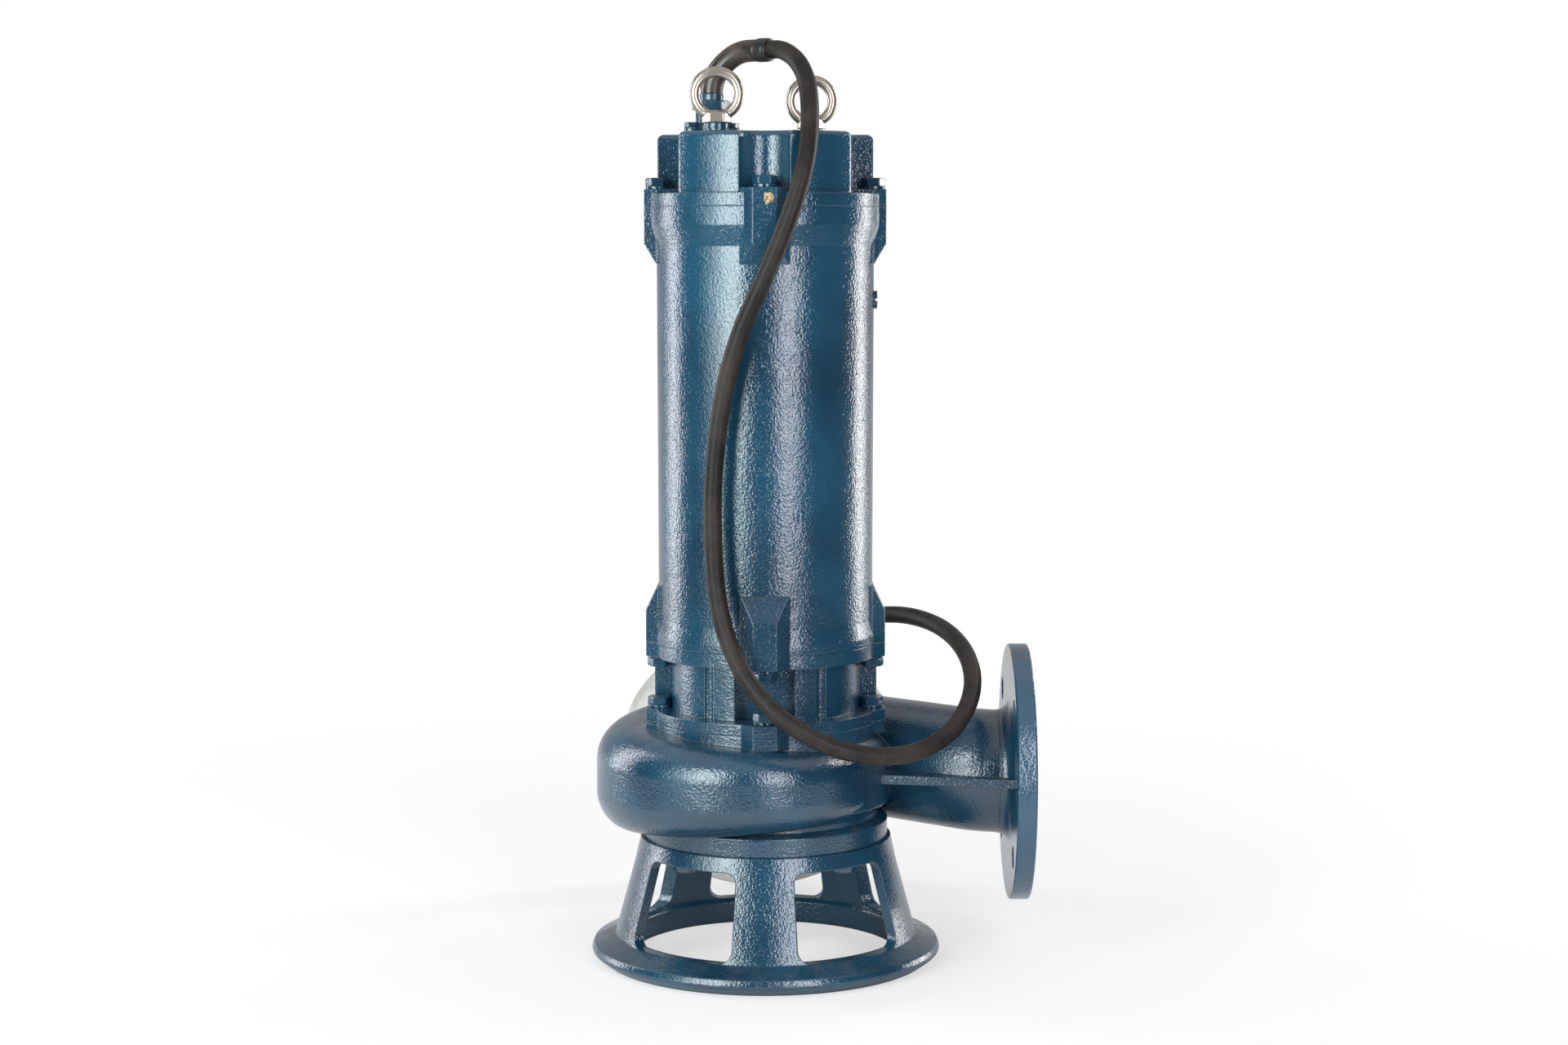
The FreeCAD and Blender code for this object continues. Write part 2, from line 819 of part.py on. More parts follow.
def outlet_flange():
    """The flange disc and the fillet between it and the nozzle."""
    level = d.outlet_height.value
    reach, thickness = d.outlet_reach.value, d.outlet_flange_thickness.value
    back = Vector(reach - thickness, 0, level)
    disc = Part.makeCylinder(d.outlet_flange_radius.value, thickness, back, Vector(1, 0, 0))
    disc = disc.makeFillet(1.5, [e for e in disc.Edges if isinstance(e.Curve, Part.Circle)])
    fillet, radius = d.hub_fillet.value, d.nozzle_radius.value + d.hub_lip.value
    inner = radius - 4.0

    def at(x, r):
        return Vector(back.x + x, 0, level + r)

    bend = fillet * (1 - math.sqrt(0.5))
    section = Part.Wire([
        Part.LineSegment(at(-fillet, inner), at(-fillet, radius)).toShape(),
        Part.Arc(at(-fillet, radius), at(-bend, radius + bend), at(0, radius + fillet)).toShape(),
        Part.LineSegment(at(0, radius + fillet), at(1, radius + fillet)).toShape(),
        Part.LineSegment(at(1, radius + fillet), at(1, inner)).toShape(),
        Part.LineSegment(at(1, inner), at(-fillet, inner)).toShape(),
    ])
    hub = Part.Face(section).revolve(Vector(0, 0, level), Vector(1, 0, 0), 360)
    return disc, hub


def outlet_web():
    """The flat rib between the volute and the flange on the front side."""
    back = (d.outlet_reach - d.outlet_flange_thickness).value
    low = (d.outlet_height - d.web_thickness * 0.5).value
    root = math.sqrt(d.volute_core_radius.value ** 2 - d.web_start.value ** 2) - 6.0
    plan = [
        Vector(root, -d.web_start.value, low),
        Vector(back + 1.0, -d.web_end.value, low),
        Vector(back + 1.0, 0, low),
        Vector(root, 20.0, low),
    ]
    return Part.Face(Part.makePolygon(plan + plan[:1])).extrude(Vector(0, 0, d.web_thickness.value))


def make_volute():
    joint, floor = JOINT.value, STAND_TOP.value
    flange_under = PLATE_FLOOR
    rim_top = STAND_TOP + d.rim_thickness
    core = turned_solid([
        (0, STAND_TOP),
        (d.rim_radius, STAND_TOP),
        (d.rim_radius, rim_top),
        (d.volute_neck_radius, rim_top + 3.0),
        (d.volute_neck_radius, rim_top + 7.0),
        (d.volute_core_radius, rim_top + 15.0),
        (d.volute_core_radius, flange_under - 13.0),
        (d.oil_flange_radius, flange_under - 2.0),
        (d.oil_flange_radius, JOINT),
        (0, JOINT),
    ])
    disc, hub = outlet_flange()
    keep_out_top = Part.makeCylinder(d.lug_reach.value + 2.0, 40.0, Vector(0, 0, joint))
    keep_out_foot = Part.makeCylinder(d.leg_top_radius.value + 1.0, 20.0, Vector(0, 0, floor - 20.0))
    outside = core.fuse([spiral(0.0, 60.0), nozzle(d.nozzle_radius.value), hub, disc, outlet_web()])
    outside = outside.cut([keep_out_top, keep_out_foot])
    outside = outside.fuse(lug_solids(d.oil_flange_radius - 20.0, flange_under, JOINT))
    # the water way keeps clear of the bolted rims above and below it
    rim_zone = d.lug_reach.value + 1.0
    way = spiral(d.volute_wall.value, 50.0).fuse(nozzle(d.nozzle_bore.value))
    way = way.cut([
        Part.makeCylinder(rim_zone, 40.0, Vector(0, 0, flange_under.value - 2.0)),
        Part.makeCylinder(rim_zone, 40.0, Vector(0, 0, rim_top.value + 5.0 - 40.0)),
    ])
    chamber_height = (flange_under - d.chamber_floor).value
    chamber = Part.makeCylinder(
        d.chamber_radius.value, chamber_height, Vector(0, 0, d.chamber_floor.value)
    )
    recess = Part.makeCylinder(
        d.plate_radius.value, d.plate_thickness.value, Vector(0, 0, flange_under.value)
    )
    suction_depth = (d.chamber_floor - STAND_TOP).value
    suction = Part.makeCylinder(d.wear_ring_radius.value, suction_depth, Vector(0, 0, floor))
    holes = drilled(THREAD_HOLE, joint - BOLT_GRIP.value, 30.0, d.bolt_pitch_radius, BOLT_AZIMUTHS)
    stand_depth = d.rim_thickness.value - 1.5
    holes += drilled(THREAD_HOLE, floor, stand_depth, d.stand_pitch_radius, STAND_BOLT_AZIMUTHS)
    for azimuth in STAND_BOLT_AZIMUTHS:
        y, z = polar(d.outlet_pitch_radius.value, azimuth)
        place = Vector(150.0, y, d.outlet_height.value + z)
        holes.append(Part.makeCylinder(d.outlet_hole_radius.value, 80.0, place, Vector(1, 0, 0)))
    solid = outside.cut([way, chamber, recess, suction] + holes)
    keep(shaped("volute_casing", solid), "volute_casing")


def make_wear_ring():
    outer = d.wear_ring_radius - d.fit_gap
    bottom = d.chamber_floor - d.wear_ring_height
    flare = d.wear_ring_height * 0.4
    body = turned("suction_wear_ring", [
        (d.suction_radius + flare * 0.7, bottom),
        (outer, bottom),
        (outer, d.chamber_floor),
        (d.suction_radius, d.chamber_floor),
        (d.suction_radius, bottom + flare),
    ])
    keep(body, "suction_wear_ring")


# Oil chamber casing and what closes it

def make_oil_casing():
    spigot = d.motor_bore - d.fit_gap
    groove = spigot - d.ring_wire * 2.0 - d.fit_gap
    groove_low = MOTOR_FOOT + 1.8
    groove_high = groove_low + d.ring_wire * 2.4
    bore_top = MOTOR_FOOT + d.spigot_depth + 2.5
    seat = d.low_bearing_radius + d.fit_gap
    oil_roof = JOINT + d.oil_chamber_depth
    body = turned("oil_casing_body", [
        (d.oil_chamber_radius, JOINT),
        (d.oil_flange_radius, JOINT),
        (d.oil_flange_radius, LOW_FLANGE_TOP),
        (d.oil_neck_radius, LOW_FLANGE_TOP),
        (d.oil_neck_radius, HIGH_FLANGE_UNDER),
        (d.oil_flange_radius - 1.0, HIGH_FLANGE_UNDER),
        (d.oil_flange_radius - 1.0, MOTOR_FOOT),
        (spigot, MOTOR_FOOT),
        (spigot, groove_low),
        (groove, groove_low),
        (groove, groove_high),
        (spigot, groove_high),
        (spigot, MOTOR_FOOT + d.spigot_depth),
        (spigot - 8.0, MOTOR_FOOT + d.spigot_depth),
        (spigot - 8.0, MOTOR_FOOT + 1.0),
        (d.bearing_boss_radius, MOTOR_FOOT + 1.0),
        (d.bearing_boss_radius, bore_top),
        (seat, bore_top),
        (seat, d.low_bearing_bottom),
        (d.seal_radius, d.low_bearing_bottom),
        (d.seal_radius, oil_roof),
        (d.oil_chamber_radius, oil_roof),
    ])
    low = add_lugs(body, "oil_low_lug", d.oil_neck_radius - 4.0, JOINT, LOW_FLANGE_TOP)
    repeat(body, "oil_low_lugs", [low], CASING_BOLTS)
    high = add_lugs(body, "oil_high_lug", d.motor_bore + 1.0, HIGH_FLANGE_UNDER, MOTOR_FOOT)
    repeat(body, "oil_high_lugs", [high], CASING_BOLTS)
    for name, side in (("front", -1.0), ("rear", 1.0)):
        sketch = new_sketch(body, f"oil_{name}_flat_plan", "XY_Plane", HIGH_FLANGE_UNDER)
        edge = d.oil_flat_depth * side
        beyond = d.oil_neck_radius * side * 1.1
        outline(sketch, [
            (-d.oil_flat_half, edge),
            (d.oil_flat_half, edge),
            (d.oil_flat_half, beyond),
            (-d.oil_flat_half, beyond),
        ])
        pocket(body, f"oil_{name}_flat", sketch, HIGH_FLANGE_UNDER - LOW_FLANGE_TOP)
    grooves = [
        (*polar(d.oil_neck_radius, azimuth), d.oil_groove_radius)
        for azimuth in (-126.0, -54.0, 54.0, 126.0)
    ]
    holes_down(body, "oil_grooves", grooves, HIGH_FLANGE_UNDER, HIGH_FLANGE_UNDER - LOW_FLANGE_TOP)
    for name, side in (("left", -1.0), ("right", 1.0)):
        sketch = new_sketch(body, f"oil_{name}_pillar_plan", "XY_Plane", LOW_FLANGE_TOP - 1.0)
        root = (d.oil_neck_radius - 10.0) * side
        reach = d.pillar_reach * side
        outline(sketch, [
            (root, d.pillar_near),
            (reach, d.pillar_near),
            (reach, d.pillar_far),
            (root, d.pillar_far),
        ])
        pad(body, f"oil_{name}_pillar", sketch, HIGH_FLANGE_UNDER - LOW_FLANGE_TOP + 2.0)
    through = d.oil_casing_height
    holes_down(body, "oil_holes", bolt_places(CLEAR_HOLE), MOTOR_FOOT, through)
    plan = new_sketch(body, "oil_plug_plan", "XZ_Plane")
    circles(plan, [(0, plug_level(), d.bolt_radius + 3.0 + d.fit_gap)])
    pocket(body, "oil_plug_hole", plan, d.oil_flat_depth + 2.0)
    keep(body, "oil_chamber_casing")


def plug_level():
    return JOINT + d.oil_casing_height * 0.48


def make_oil_plug():
    """The filler plug in the rear flat of the oil chamber casing."""
    head = doc.addObject("Part::Prism", "oil_plug_head")
    head.Polygon = 6
    head.Placement = Placement(Vector(), Rotation(Vector(1, 0, 0), -90))
    bind(head, Circumradius=d.bolt_flats * HEX_CORNER, Height=d.bolt_head)
    move(head, 0, d.oil_flat_depth, plug_level())
    shank = doc.addObject("Part::Cylinder", "oil_plug_shank")
    shank.Placement = Placement(Vector(), Rotation(Vector(1, 0, 0), 90))
    length = d.oil_flat_depth - d.oil_chamber_radius - 0.5
    bind(shank, Radius=d.bolt_radius + 3.0, Height=length)
    move(shank, 0, d.oil_flat_depth, plug_level())
    collar = doc.addObject("Part::Cylinder", "oil_plug_collar")
    collar.Placement = Placement(Vector(), Rotation(Vector(1, 0, 0), -90))
    bind(collar, Radius=d.bolt_flats * 0.65, Height=2.0)
    move(collar, 0, d.oil_flat_depth, plug_level())
    keep(fuse("oil_plug", head, shank, collar), "oil_plug")


def make_seal_plate():
    outer = d.plate_radius - d.fit_gap
    low, high = PLATE_FLOOR + 2.5, PLATE_FLOOR + 2.5 + d.ring_wire * 2.4
    groove = outer - d.ring_wire * 2.0 - d.fit_gap
    body = turned("seal_plate", [
        (d.seal_radius, PLATE_FLOOR),
        (outer, PLATE_FLOOR),
        (outer, low),
        (groove, low),
        (groove, high),
        (outer, high),
        (outer, JOINT),
        (d.seal_radius, JOINT),
    ])
    keep(body, "seal_plate")


def make_sealing_rings():
    wire = d.ring_wire
    plate = d.plate_radius - d.fit_gap * 2.0 - wire
    level = PLATE_FLOOR + 2.5 + wire * 1.2
    keep(torus("volute_sealing_ring", plate, wire, level), "volute_sealing_ring")
    spigot = d.motor_bore - d.fit_gap * 2.0 - wire
    level = MOTOR_FOOT + 1.8 + wire * 1.2
    keep(torus("motor_sealing_ring", spigot, wire, level), "motor_sealing_ring")
    cover = cover_spigot_radius() - d.fit_gap - wire
    level = MOTOR_TOP - d.cover_spigot * 0.5
    keep(torus("cover_sealing_ring", cover, wire, level), "cover_sealing_ring")


# Motor casing

def make_motor_casing():
    foot_band = MOTOR_FOOT + d.motor_foot_band
    top_band = MOTOR_TOP - d.motor_top_band
    body = turned("motor_casing_body", [
        (d.motor_bore, MOTOR_FOOT),
        (d.motor_foot_radius, MOTOR_FOOT),
        (d.motor_foot_radius, foot_band),
        (d.motor_low_radius, foot_band + d.motor_foot_taper),
        (d.motor_high_radius, top_band - d.motor_top_taper),
        (d.motor_top_radius, top_band),
        (d.motor_top_radius, MOTOR_TOP),
        (d.bracket_radius, MOTOR_TOP),
        (d.bracket_radius, BRACKET_FLOOR),
        (d.motor_bore, BRACKET_FLOOR),
    ])
    inner = d.bracket_radius + 2.0
    low_top = MOTOR_FOOT + d.low_lug_height
    low_end = low_top + d.low_lug_slope
    low = add_lugs(body, "motor_low_lug", inner, MOTOR_FOOT, low_end)
    sketch = new_sketch(body, "motor_low_slope_view", "XZ_Plane")
    outline(sketch, [
        (d.motor_high_radius, low_end),
        (d.lug_reach, low_top),
        (d.lug_reach + 1.0, low_top),
        (d.lug_reach + 1.0, low_end + 1.0),
        (d.motor_high_radius, low_end + 1.0),
    ])
    low_slope = pocket(body, "motor_low_slope", sketch, d.lug_half_base * 2.2, midplane=True)
    repeat(body, "motor_low_lugs", [low, low_slope], CASING_BOLTS)
    high_low = MOTOR_TOP - d.high_lug_height
    high_end = high_low - d.high_lug_slope
    high = add_lugs(body, "motor_high_lug", inner, high_end, MOTOR_TOP)
    sketch = new_sketch(body, "motor_high_slope_view", "XZ_Plane")
    outline(sketch, [
        (d.motor_high_radius, high_end - 1.0),
        (d.lug_reach + 1.0, high_end - 1.0),
        (d.lug_reach + 1.0, high_low),
        (d.lug_reach, high_low),
        (d.motor_high_radius, high_end),
    ])
    high_slope = pocket(body, "motor_high_slope", sketch, d.lug_half_base * 2.2, midplane=True)
    repeat(body, "motor_high_lugs", [high, high_slope], CASING_BOLTS)
    holes_up(body, "motor_low_holes", bolt_places(THREAD_HOLE), MOTOR_FOOT, BOLT_GRIP + 2.0)
    holes_down(body, "motor_high_holes", bolt_places(THREAD_HOLE), MOTOR_TOP, BOLT_GRIP * 2 + 2.0)
    spot = new_sketch(body, "plug_spot_view", "YZ_Plane", d.plug_seat)
    circles(spot, [(0, d.plug_height, d.plug_head_radius + 2.0)])
    pocket(body, "plug_spot", spot, d.motor_high_radius - d.plug_seat + 4.0, against=True)
    bore = new_sketch(body, "plug_bore_view", "YZ_Plane", d.plug_seat)
    circles(bore, [(0, d.plug_height, d.plug_radius + d.fit_gap)])
    pocket(body, "plug_bore", bore, d.plug_seat - d.motor_bore + 2.0)
    keep(body, "motor_casing")


def make_casing_plug():
    """The small test plug high on the discharge side of the motor casing."""
    head = doc.addObject("Part::Cylinder", "casing_plug_head")
    shank = doc.addObject("Part::Cylinder", "casing_plug_shank")
    for item in (head, shank):
        item.Placement = Placement(Vector(), Rotation(Vector(0, 1, 0), 90))
    bind(head, Radius=d.plug_head_radius, Height=d.plug_head)
    move(head, d.plug_seat, 0, d.plug_height)
    bind(shank, Radius=d.plug_radius, Height=d.plug_length + 1.0)
    move(shank, d.plug_seat - d.plug_length, 0, d.plug_height)
    slot = doc.addObject("Part::Box", "casing_plug_slot")
    bind(slot, Length=2.0, Width=d.plug_head_radius * 2.2, Height=1.8)
    front = d.plug_seat + d.plug_head
    move(slot, front - 1.6, -d.plug_head_radius * 1.1, d.plug_height - 0.9)
    keep(cut("casing_plug", fuse("casing_plug_solid", head, shank), slot), "casing_plug")


# Top cover

def cover_spigot_radius():
    return d.bracket_radius - 5.0 - d.fit_gap


def make_top_cover():
    spigot = cover_spigot_radius()
    spigot_foot = MOTOR_TOP - d.cover_spigot
    groove = spigot - d.ring_wire * 2.0 - d.fit_gap
    groove_low = MOTOR_TOP - d.cover_spigot * 0.5 - d.ring_wire * 1.2
    groove_high = groove_low + d.ring_wire * 2.4
    flange_top = MOTOR_TOP + d.cover_flange
    body = turned("top_cover_body", [
        (0, ROOF_UNDER),
        (d.cover_bore, ROOF_UNDER),
        (d.cover_bore, MOTOR_TOP + 4.0),
        (d.cover_spigot_inner, MOTOR_TOP + 1.0),
        (d.cover_spigot_inner, spigot_foot),
        (spigot, spigot_foot),
        (spigot, groove_low),
        (groove, groove_low),
        (groove, groove_high),
        (spigot, groove_high),
        (spigot, MOTOR_TOP),
        (d.motor_top_radius, MOTOR_TOP),
        (d.motor_top_radius, flange_top),
        (d.cover_radius, flange_top),
        (d.cover_radius, COVER_TOP),
        (0, COVER_TOP),
    ])
    depth = COVER_TOP - flange_top
    scallops = [(*polar(d.scallop_pitch, a), d.scallop_radius) for a in (-90.0, 90.0)]
    holes_down(body, "cover_scallops", scallops, COVER_TOP, depth)
    for name, side in (("left", -1.0), ("right", 1.0)):
        sketch = new_sketch(body, f"cover_{name}_cut_plan", "XY_Plane", COVER_TOP)
        beyond = (d.lug_reach + 2.0) * side
        outline(sketch, [
            (d.side_cut * side, -d.cover_radius),
            (beyond, -d.cover_radius),
            (beyond, d.side_cut_rear),
            (d.side_cut * side, d.side_cut_rear),
        ])
        pocket(body, f"cover_{name}_cut", sketch, depth)
    round_edges(body, "cover_corner_round", d.side_cut_corner, side_cut_corner)
    round_edges(body, "cover_top_round", d.cover_edge, on_cover_rim)
    lug = add_lugs(body, "cover_lug", d.cover_bore + 2.0, MOTOR_TOP, COVER_LUG_TOP)
    repeat(body, "cover_lugs", [lug], CASING_BOLTS)
    holes_down(body, "cover_holes", bolt_places(CLEAR_HOLE), COVER_LUG_TOP, d.cover_lug)
    pads = new_sketch(body, "eye_pad_plan", "XY_Plane", COVER_TOP - 1.0)
    circles(pads, [(x, y, d.eye_pad_radius) for x, y in eye_places()])
    pad(body, "eye_pads", pads, d.eye_pad + 1.0)
    taps = [(x, y, THREAD_HOLE) for x, y in eye_places()]
    holes_down(body, "eye_taps", taps, COVER_TOP + d.eye_pad, d.eye_shank + 1.0)
    entry = [(-d.gland_across, 0, d.gland_bore + 0.3)]
    holes_down(body, "cable_entry", entry, COVER_TOP, d.cover_roof)
    tap = d.small_bolt_radius + d.fit_gap
    depth = d.small_bolt_length - d.gland_flange + 0.5
    holes_down(body, "gland_taps", [(x, y, tap) for x, y in gland_bolt_places()], COVER_TOP, depth)
    keep(body, "top_cover")


def side_cut_corner(edge):
    """Upright edges where the side cuts meet the front of the round body."""
    first, last = edge.Vertexes[0].Point, edge.Vertexes[-1].Point
    upright = math.hypot(first.x - last.x, first.y - last.y) < 0.01
    tall = abs(first.z - last.z) > (d.cover_height - d.cover_flange).value - 1.0
    beside = abs(abs(first.x) - d.side_cut.value) < 0.1
    return upright and tall and beside and first.y < 0


def on_cover_rim(edge):
    return all(abs(v.Point.z - COVER_TOP.value) < 0.01 for v in edge.Vertexes)


# Lifting eyes

def eye_places():
    return [(-d.eye_across, -d.eye_along), (d.eye_across, d.eye_along)]


def make_eyes():
    seat = COVER_TOP + d.eye_pad
    for name, (x, y) in zip(("left_lifting_eye", "right_lifting_eye"), eye_places()):
        collar = hex_head(f"{name}_collar", d.eye_flats, seat, seat + d.eye_collar, x, y)
        shank = cylinder(f"{name}_shank", d.bolt_radius, seat - d.eye_shank, seat, x, y)
        ring = torus(f"{name}_ring", d.eye_ring_radius, d.eye_wire, seat + d.eye_ring_rise, x, y, True)
        root = cone(
            f"{name}_root", d.eye_flats * 0.45, d.eye_wire,
            seat + d.eye_collar - 1.0, seat + d.eye_collar + 1.5, x, y,
        )
        keep(fuse(name, collar, shank, ring, root), name)


# Cable gland

def gland_bolt_places():
    middle, across, along = d.gland_across, d.gland_ear_across, d.gland_ear_along
    return [(-middle - across, -along), (-middle + across, along)]


def make_gland():
    base = COVER_TOP
    plate_top = base + d.gland_flange
    top = base + d.gland_height
    middle = -d.gland_across
    ears = [
        cylinder(f"gland_ear_{k}", d.gland_ear_radius, base, plate_top, x, y)
        for k, (x, y) in enumerate(gland_bolt_places(), start=1)
    ]
    lean = math.degrees(math.atan2(d.gland_ear_along.value, d.gland_ear_across.value))
    width = d.gland_ear_radius * 2.0
    length = math.hypot(d.gland_ear_across.value, d.gland_ear_along.value) * 2.0
    side_x, side_y = polar(d.gland_ear_radius, lean - 90.0)
    start_x, start_y = gland_bolt_places()[0]
    bridge = box("gland_bridge", length, width, base, plate_top, start_x + side_x, start_y + side_y, lean)
    tower = cylinder("gland_tower", d.gland_radius, base, top, middle, 0)
    solid = fuse("gland_solid", bridge, tower, *ears)
    bore = cylinder("gland_passage", d.gland_bore, base, top, middle, 0)
    clear = [
        cylinder(f"gland_clearance_{k}", d.small_bolt_radius + 0.3, base, plate_top, x, y)
        for k, (x, y) in enumerate(gland_bolt_places(), start=1)
    ]
    spot = [
        tube(f"gland_spot_{k}", d.small_bolt_flats * 0.62, 0.5, plate_top, top, x, y)
        for k, (x, y) in enumerate(gland_bolt_places(), start=1)
    ]
    keep(cut("gland_body", solid, bore, *clear, *spot), "gland_body")
    bolts = []
    for k, (x, y) in enumerate(gland_bolt_places(), start=1):
        size = (d.small_bolt_radius, d.small_bolt_flats, d.small_bolt_head)
        bolts.append(bolt(f"gland_bolt_{k}", x, y, plate_top, d.small_bolt_length, *size))
    keep(group("gland_bolts", bolts), "gland_bolts")
    passage = d.cable_radius + d.fit_gap
    bush = tube("gland_bush", d.gland_bore - d.fit_gap, passage, base + 1.0, top, middle, 0)
    keep(bush, "gland_bush")
    nut_top = top + d.gland_nut
    nut = hex_head("gland_nut_hexagon", d.gland_nut_flats, top, nut_top, middle, 0)
    neck = cylinder("gland_nut_neck", d.gland_neck_radius, nut_top, neck_top(), middle, 0)
    hole = cylinder("gland_nut_hole", passage, top, neck_top(), middle, 0)
    keep(cut("gland_nut", fuse("gland_nut_solid", nut, neck), hole), "gland_nut")


def neck_top():
    return COVER_TOP + d.gland_height + d.gland_nut + d.gland_neck


# Supply cable: sleeve, band, free run and the coil behind the pump

# the sleeve rises from the gland nut and bends over towards the front right
SLEEVE_BENDS = [(0.0, 0.0, 8.0), (6.5, -2.0, 20.5), (21.0, -9.0, 31.8), (37.0, -21.0, 31.8)]
CABLE_ROUTE = [
    (12.8, -33.6, 704.0), (24.0, -45.0, 696.0), (31.5, -61.5, 680.5), (34.0, -80.5, 657.5),
    (32.5, -96.5, 628.0), (25.5, -106.0, 597.0), (13.5, -107.5, 564.0), (-2.0, -104.5, 528.0),
    (-20.0, -98.5, 489.0), (-33.0, -95.5, 438.0), (-39.0, -95.0, 380.0), (-38.5, -95.5, 327.0),
    (-34.5, -98.5, 286.0), (-24.5, -105.0, 254.0), (-8.0, -114.5, 227.0), (16.0, -123.5, 204.5),
    (47.0, -125.5, 187.0), (81.0, -117.5, 178.0), (114.0, -104.0, 178.5), (139.5, -86.0, 190.0),
    (154.5, -61.5, 206.0), (161.0, -31.0, 221.0), (159.5, 4.0, 235.0), (150.5, 41.0, 246.5),
    (134.0, 78.0, 254.0), (109.0, 112.0, 256.0), (80.0, 138.0, 250.0), (46.0, 150.0, 247.0),
    (12.0, 160.0, 240.0), (-21.0, 168.5, 229.0), (-53.0, 176.3, 216.2),
]
BEND_SHARE = 0.45


def tube_path(points):
    """Straight runs joined by the largest tangent arcs that fit, and the arc radii."""
    route = [Vector(*p) for p in points]
    edges, radii = [], []
    here = route[0]
    for before, corner, after in zip(route, route[1:], route[2:]):
        back, ahead = before - corner, after - corner
        shorter = min(back.Length, ahead.Length)
        back.normalize()
        ahead.normalize()
        half_turn = (math.pi - back.getAngle(ahead)) / 2
        radius = BEND_SHARE * shorter / math.tan(half_turn)
        start = corner + back * (BEND_SHARE * shorter)
        end = corner + ahead * (BEND_SHARE * shorter)
        middle = (back + ahead).normalize()
        centre = corner + middle * (radius / math.cos(half_turn))
        edges.append(Part.LineSegment(here, start).toShape())
        edges.append(Part.Arc(start, centre - middle * radius, end).toShape())
        radii.append(radius)
        here = end
    edges.append(Part.LineSegment(here, route[-1]).toShape())
    return Part.Wire(edges), radii


def round_tube(name, points, radius):
    path, radii = tube_path(points)
    start = path.Edges[0].firstVertex().Point
    ahead = path.Edges[0].tangentAt(path.Edges[0].FirstParameter)
    section = Part.Wire(Part.Circle(start, ahead, radius).toShape())
    solid = path.makePipeShell([section], True, False)
    expected = math.pi * radius ** 2 * path.Length
    print(name, "length", round(path.Length, 1), "smallest radius", round(min(radii), 1))
    print(name, "radii", [round(r) for r in radii])
    print(name, "volume over section times length", round(solid.Volume / expected, 4))
    return solid


def make_cable():
    foot = Vector(-d.gland_across.value, 0, neck_top().value)
    bends = [foot] + [foot + Vector(*bend) for bend in SLEEVE_BENDS]
    sleeve = shaped("sleeve_tube", round_tube("sleeve", bends, d.sleeve_radius.value))
    tail_foot = neck_top() - d.tail_depth
    tail = cylinder("cable_tail", d.cable_radius, tail_foot, neck_top(), -d.gland_across, 0)
    keep(fuse("cable_sleeve", sleeve, tail), "cable_sleeve")
    ahead = (bends[-1] - bends[-2]).normalize()
    length = d.band_length.value
    band = Part.makeCylinder(d.band_radius.value, length, bends[-1], ahead)
    keep(shaped("cable_band", band), "cable_band")
    route = [bends[-1] + ahead * length] + CABLE_ROUTE
    free = round_tube("supply cable", route, d.cable_radius.value)
    keep(shaped("supply_cable", free), "supply_cable")


def make_coil():
    """The outer shape of the coiled cable, leaning back to front against the volute."""
    body = doc.addObject("PartDesign::Body", "cable_coil")
    sketch = new_sketch(body, "coil_section", "XZ_Plane")
    inner = d.coil_mean_radius - d.coil_half_radial
    outer = d.coil_mean_radius + d.coil_half_radial
    rounded_outline(sketch, [
        (inner, -d.coil_half_axial),
        (outer, -d.coil_half_axial),
        (outer, d.coil_half_axial),
        (inner, d.coil_half_axial),
    ], d.coil_corner)
    turn = body.newObject("PartDesign::Revolution", "coil_turn")
    turn.Profile = sketch
    turn.ReferenceAxis = (sketch, ["V_Axis"])
    turn.Angle = 360
    lean = math.radians(d.coil_lean.value)
    body.Placement = Placement(Vector(), Rotation(Vector(1, 0, 0), 90.0 + d.coil_lean.value))
    # the lowest point of the leaning ring touches the floor
    flat_out = outer - d.coil_corner
    flat_up = d.coil_half_axial - d.coil_corner
    rise = flat_out * round(math.cos(lean), 9) + flat_up * round(math.sin(lean), 9) + d.coil_corner
    move(body, -d.coil_across, d.coil_along, rise)
    keep(body, "cable_coil")


# Motor inside

def make_stator():
    top = d.stack_bottom + d.stack_length
    outer = d.motor_bore - d.fit_gap
    keep(tube("stator_core", outer, d.stator_inner, d.stack_bottom, top), "stator_core")
    heads = (("lower_windings", d.stack_bottom - d.winding_height), ("upper_windings", top))
    for name, bottom in heads:
        body = doc.addObject("PartDesign::Body", name)
        sketch = new_sketch(body, f"{name}_section", "XZ_Plane")
        rounded_outline(sketch, [
            (d.winding_inner, bottom),
            (d.winding_outer, bottom),
            (d.winding_outer, bottom + d.winding_height),
            (d.winding_inner, bottom + d.winding_height),
        ], d.winding_round)
        turn = body.newObject("PartDesign::Revolution", f"{name}_turn")
        turn.Profile = sketch
        turn.ReferenceAxis = (sketch, ["V_Axis"])
        turn.Angle = 360
        keep(body, name)


def make_rotor():
    top = d.stack_bottom + d.stack_length
    bore = d.rotor_seat_radius + d.fit_gap
    keep(tube("rotor_core", d.rotor_radius, bore, d.stack_bottom, top), "rotor_core")
    rings = []
    for k, bottom in enumerate((d.stack_bottom - d.end_ring_height, top), start=1):
        height = bottom + d.end_ring_height
        rings.append(tube(f"rotor_end_ring_{k}", d.end_ring_outer, d.end_ring_inner, bottom, height))
    keep(group("rotor_end_rings", rings), "rotor_end_rings")


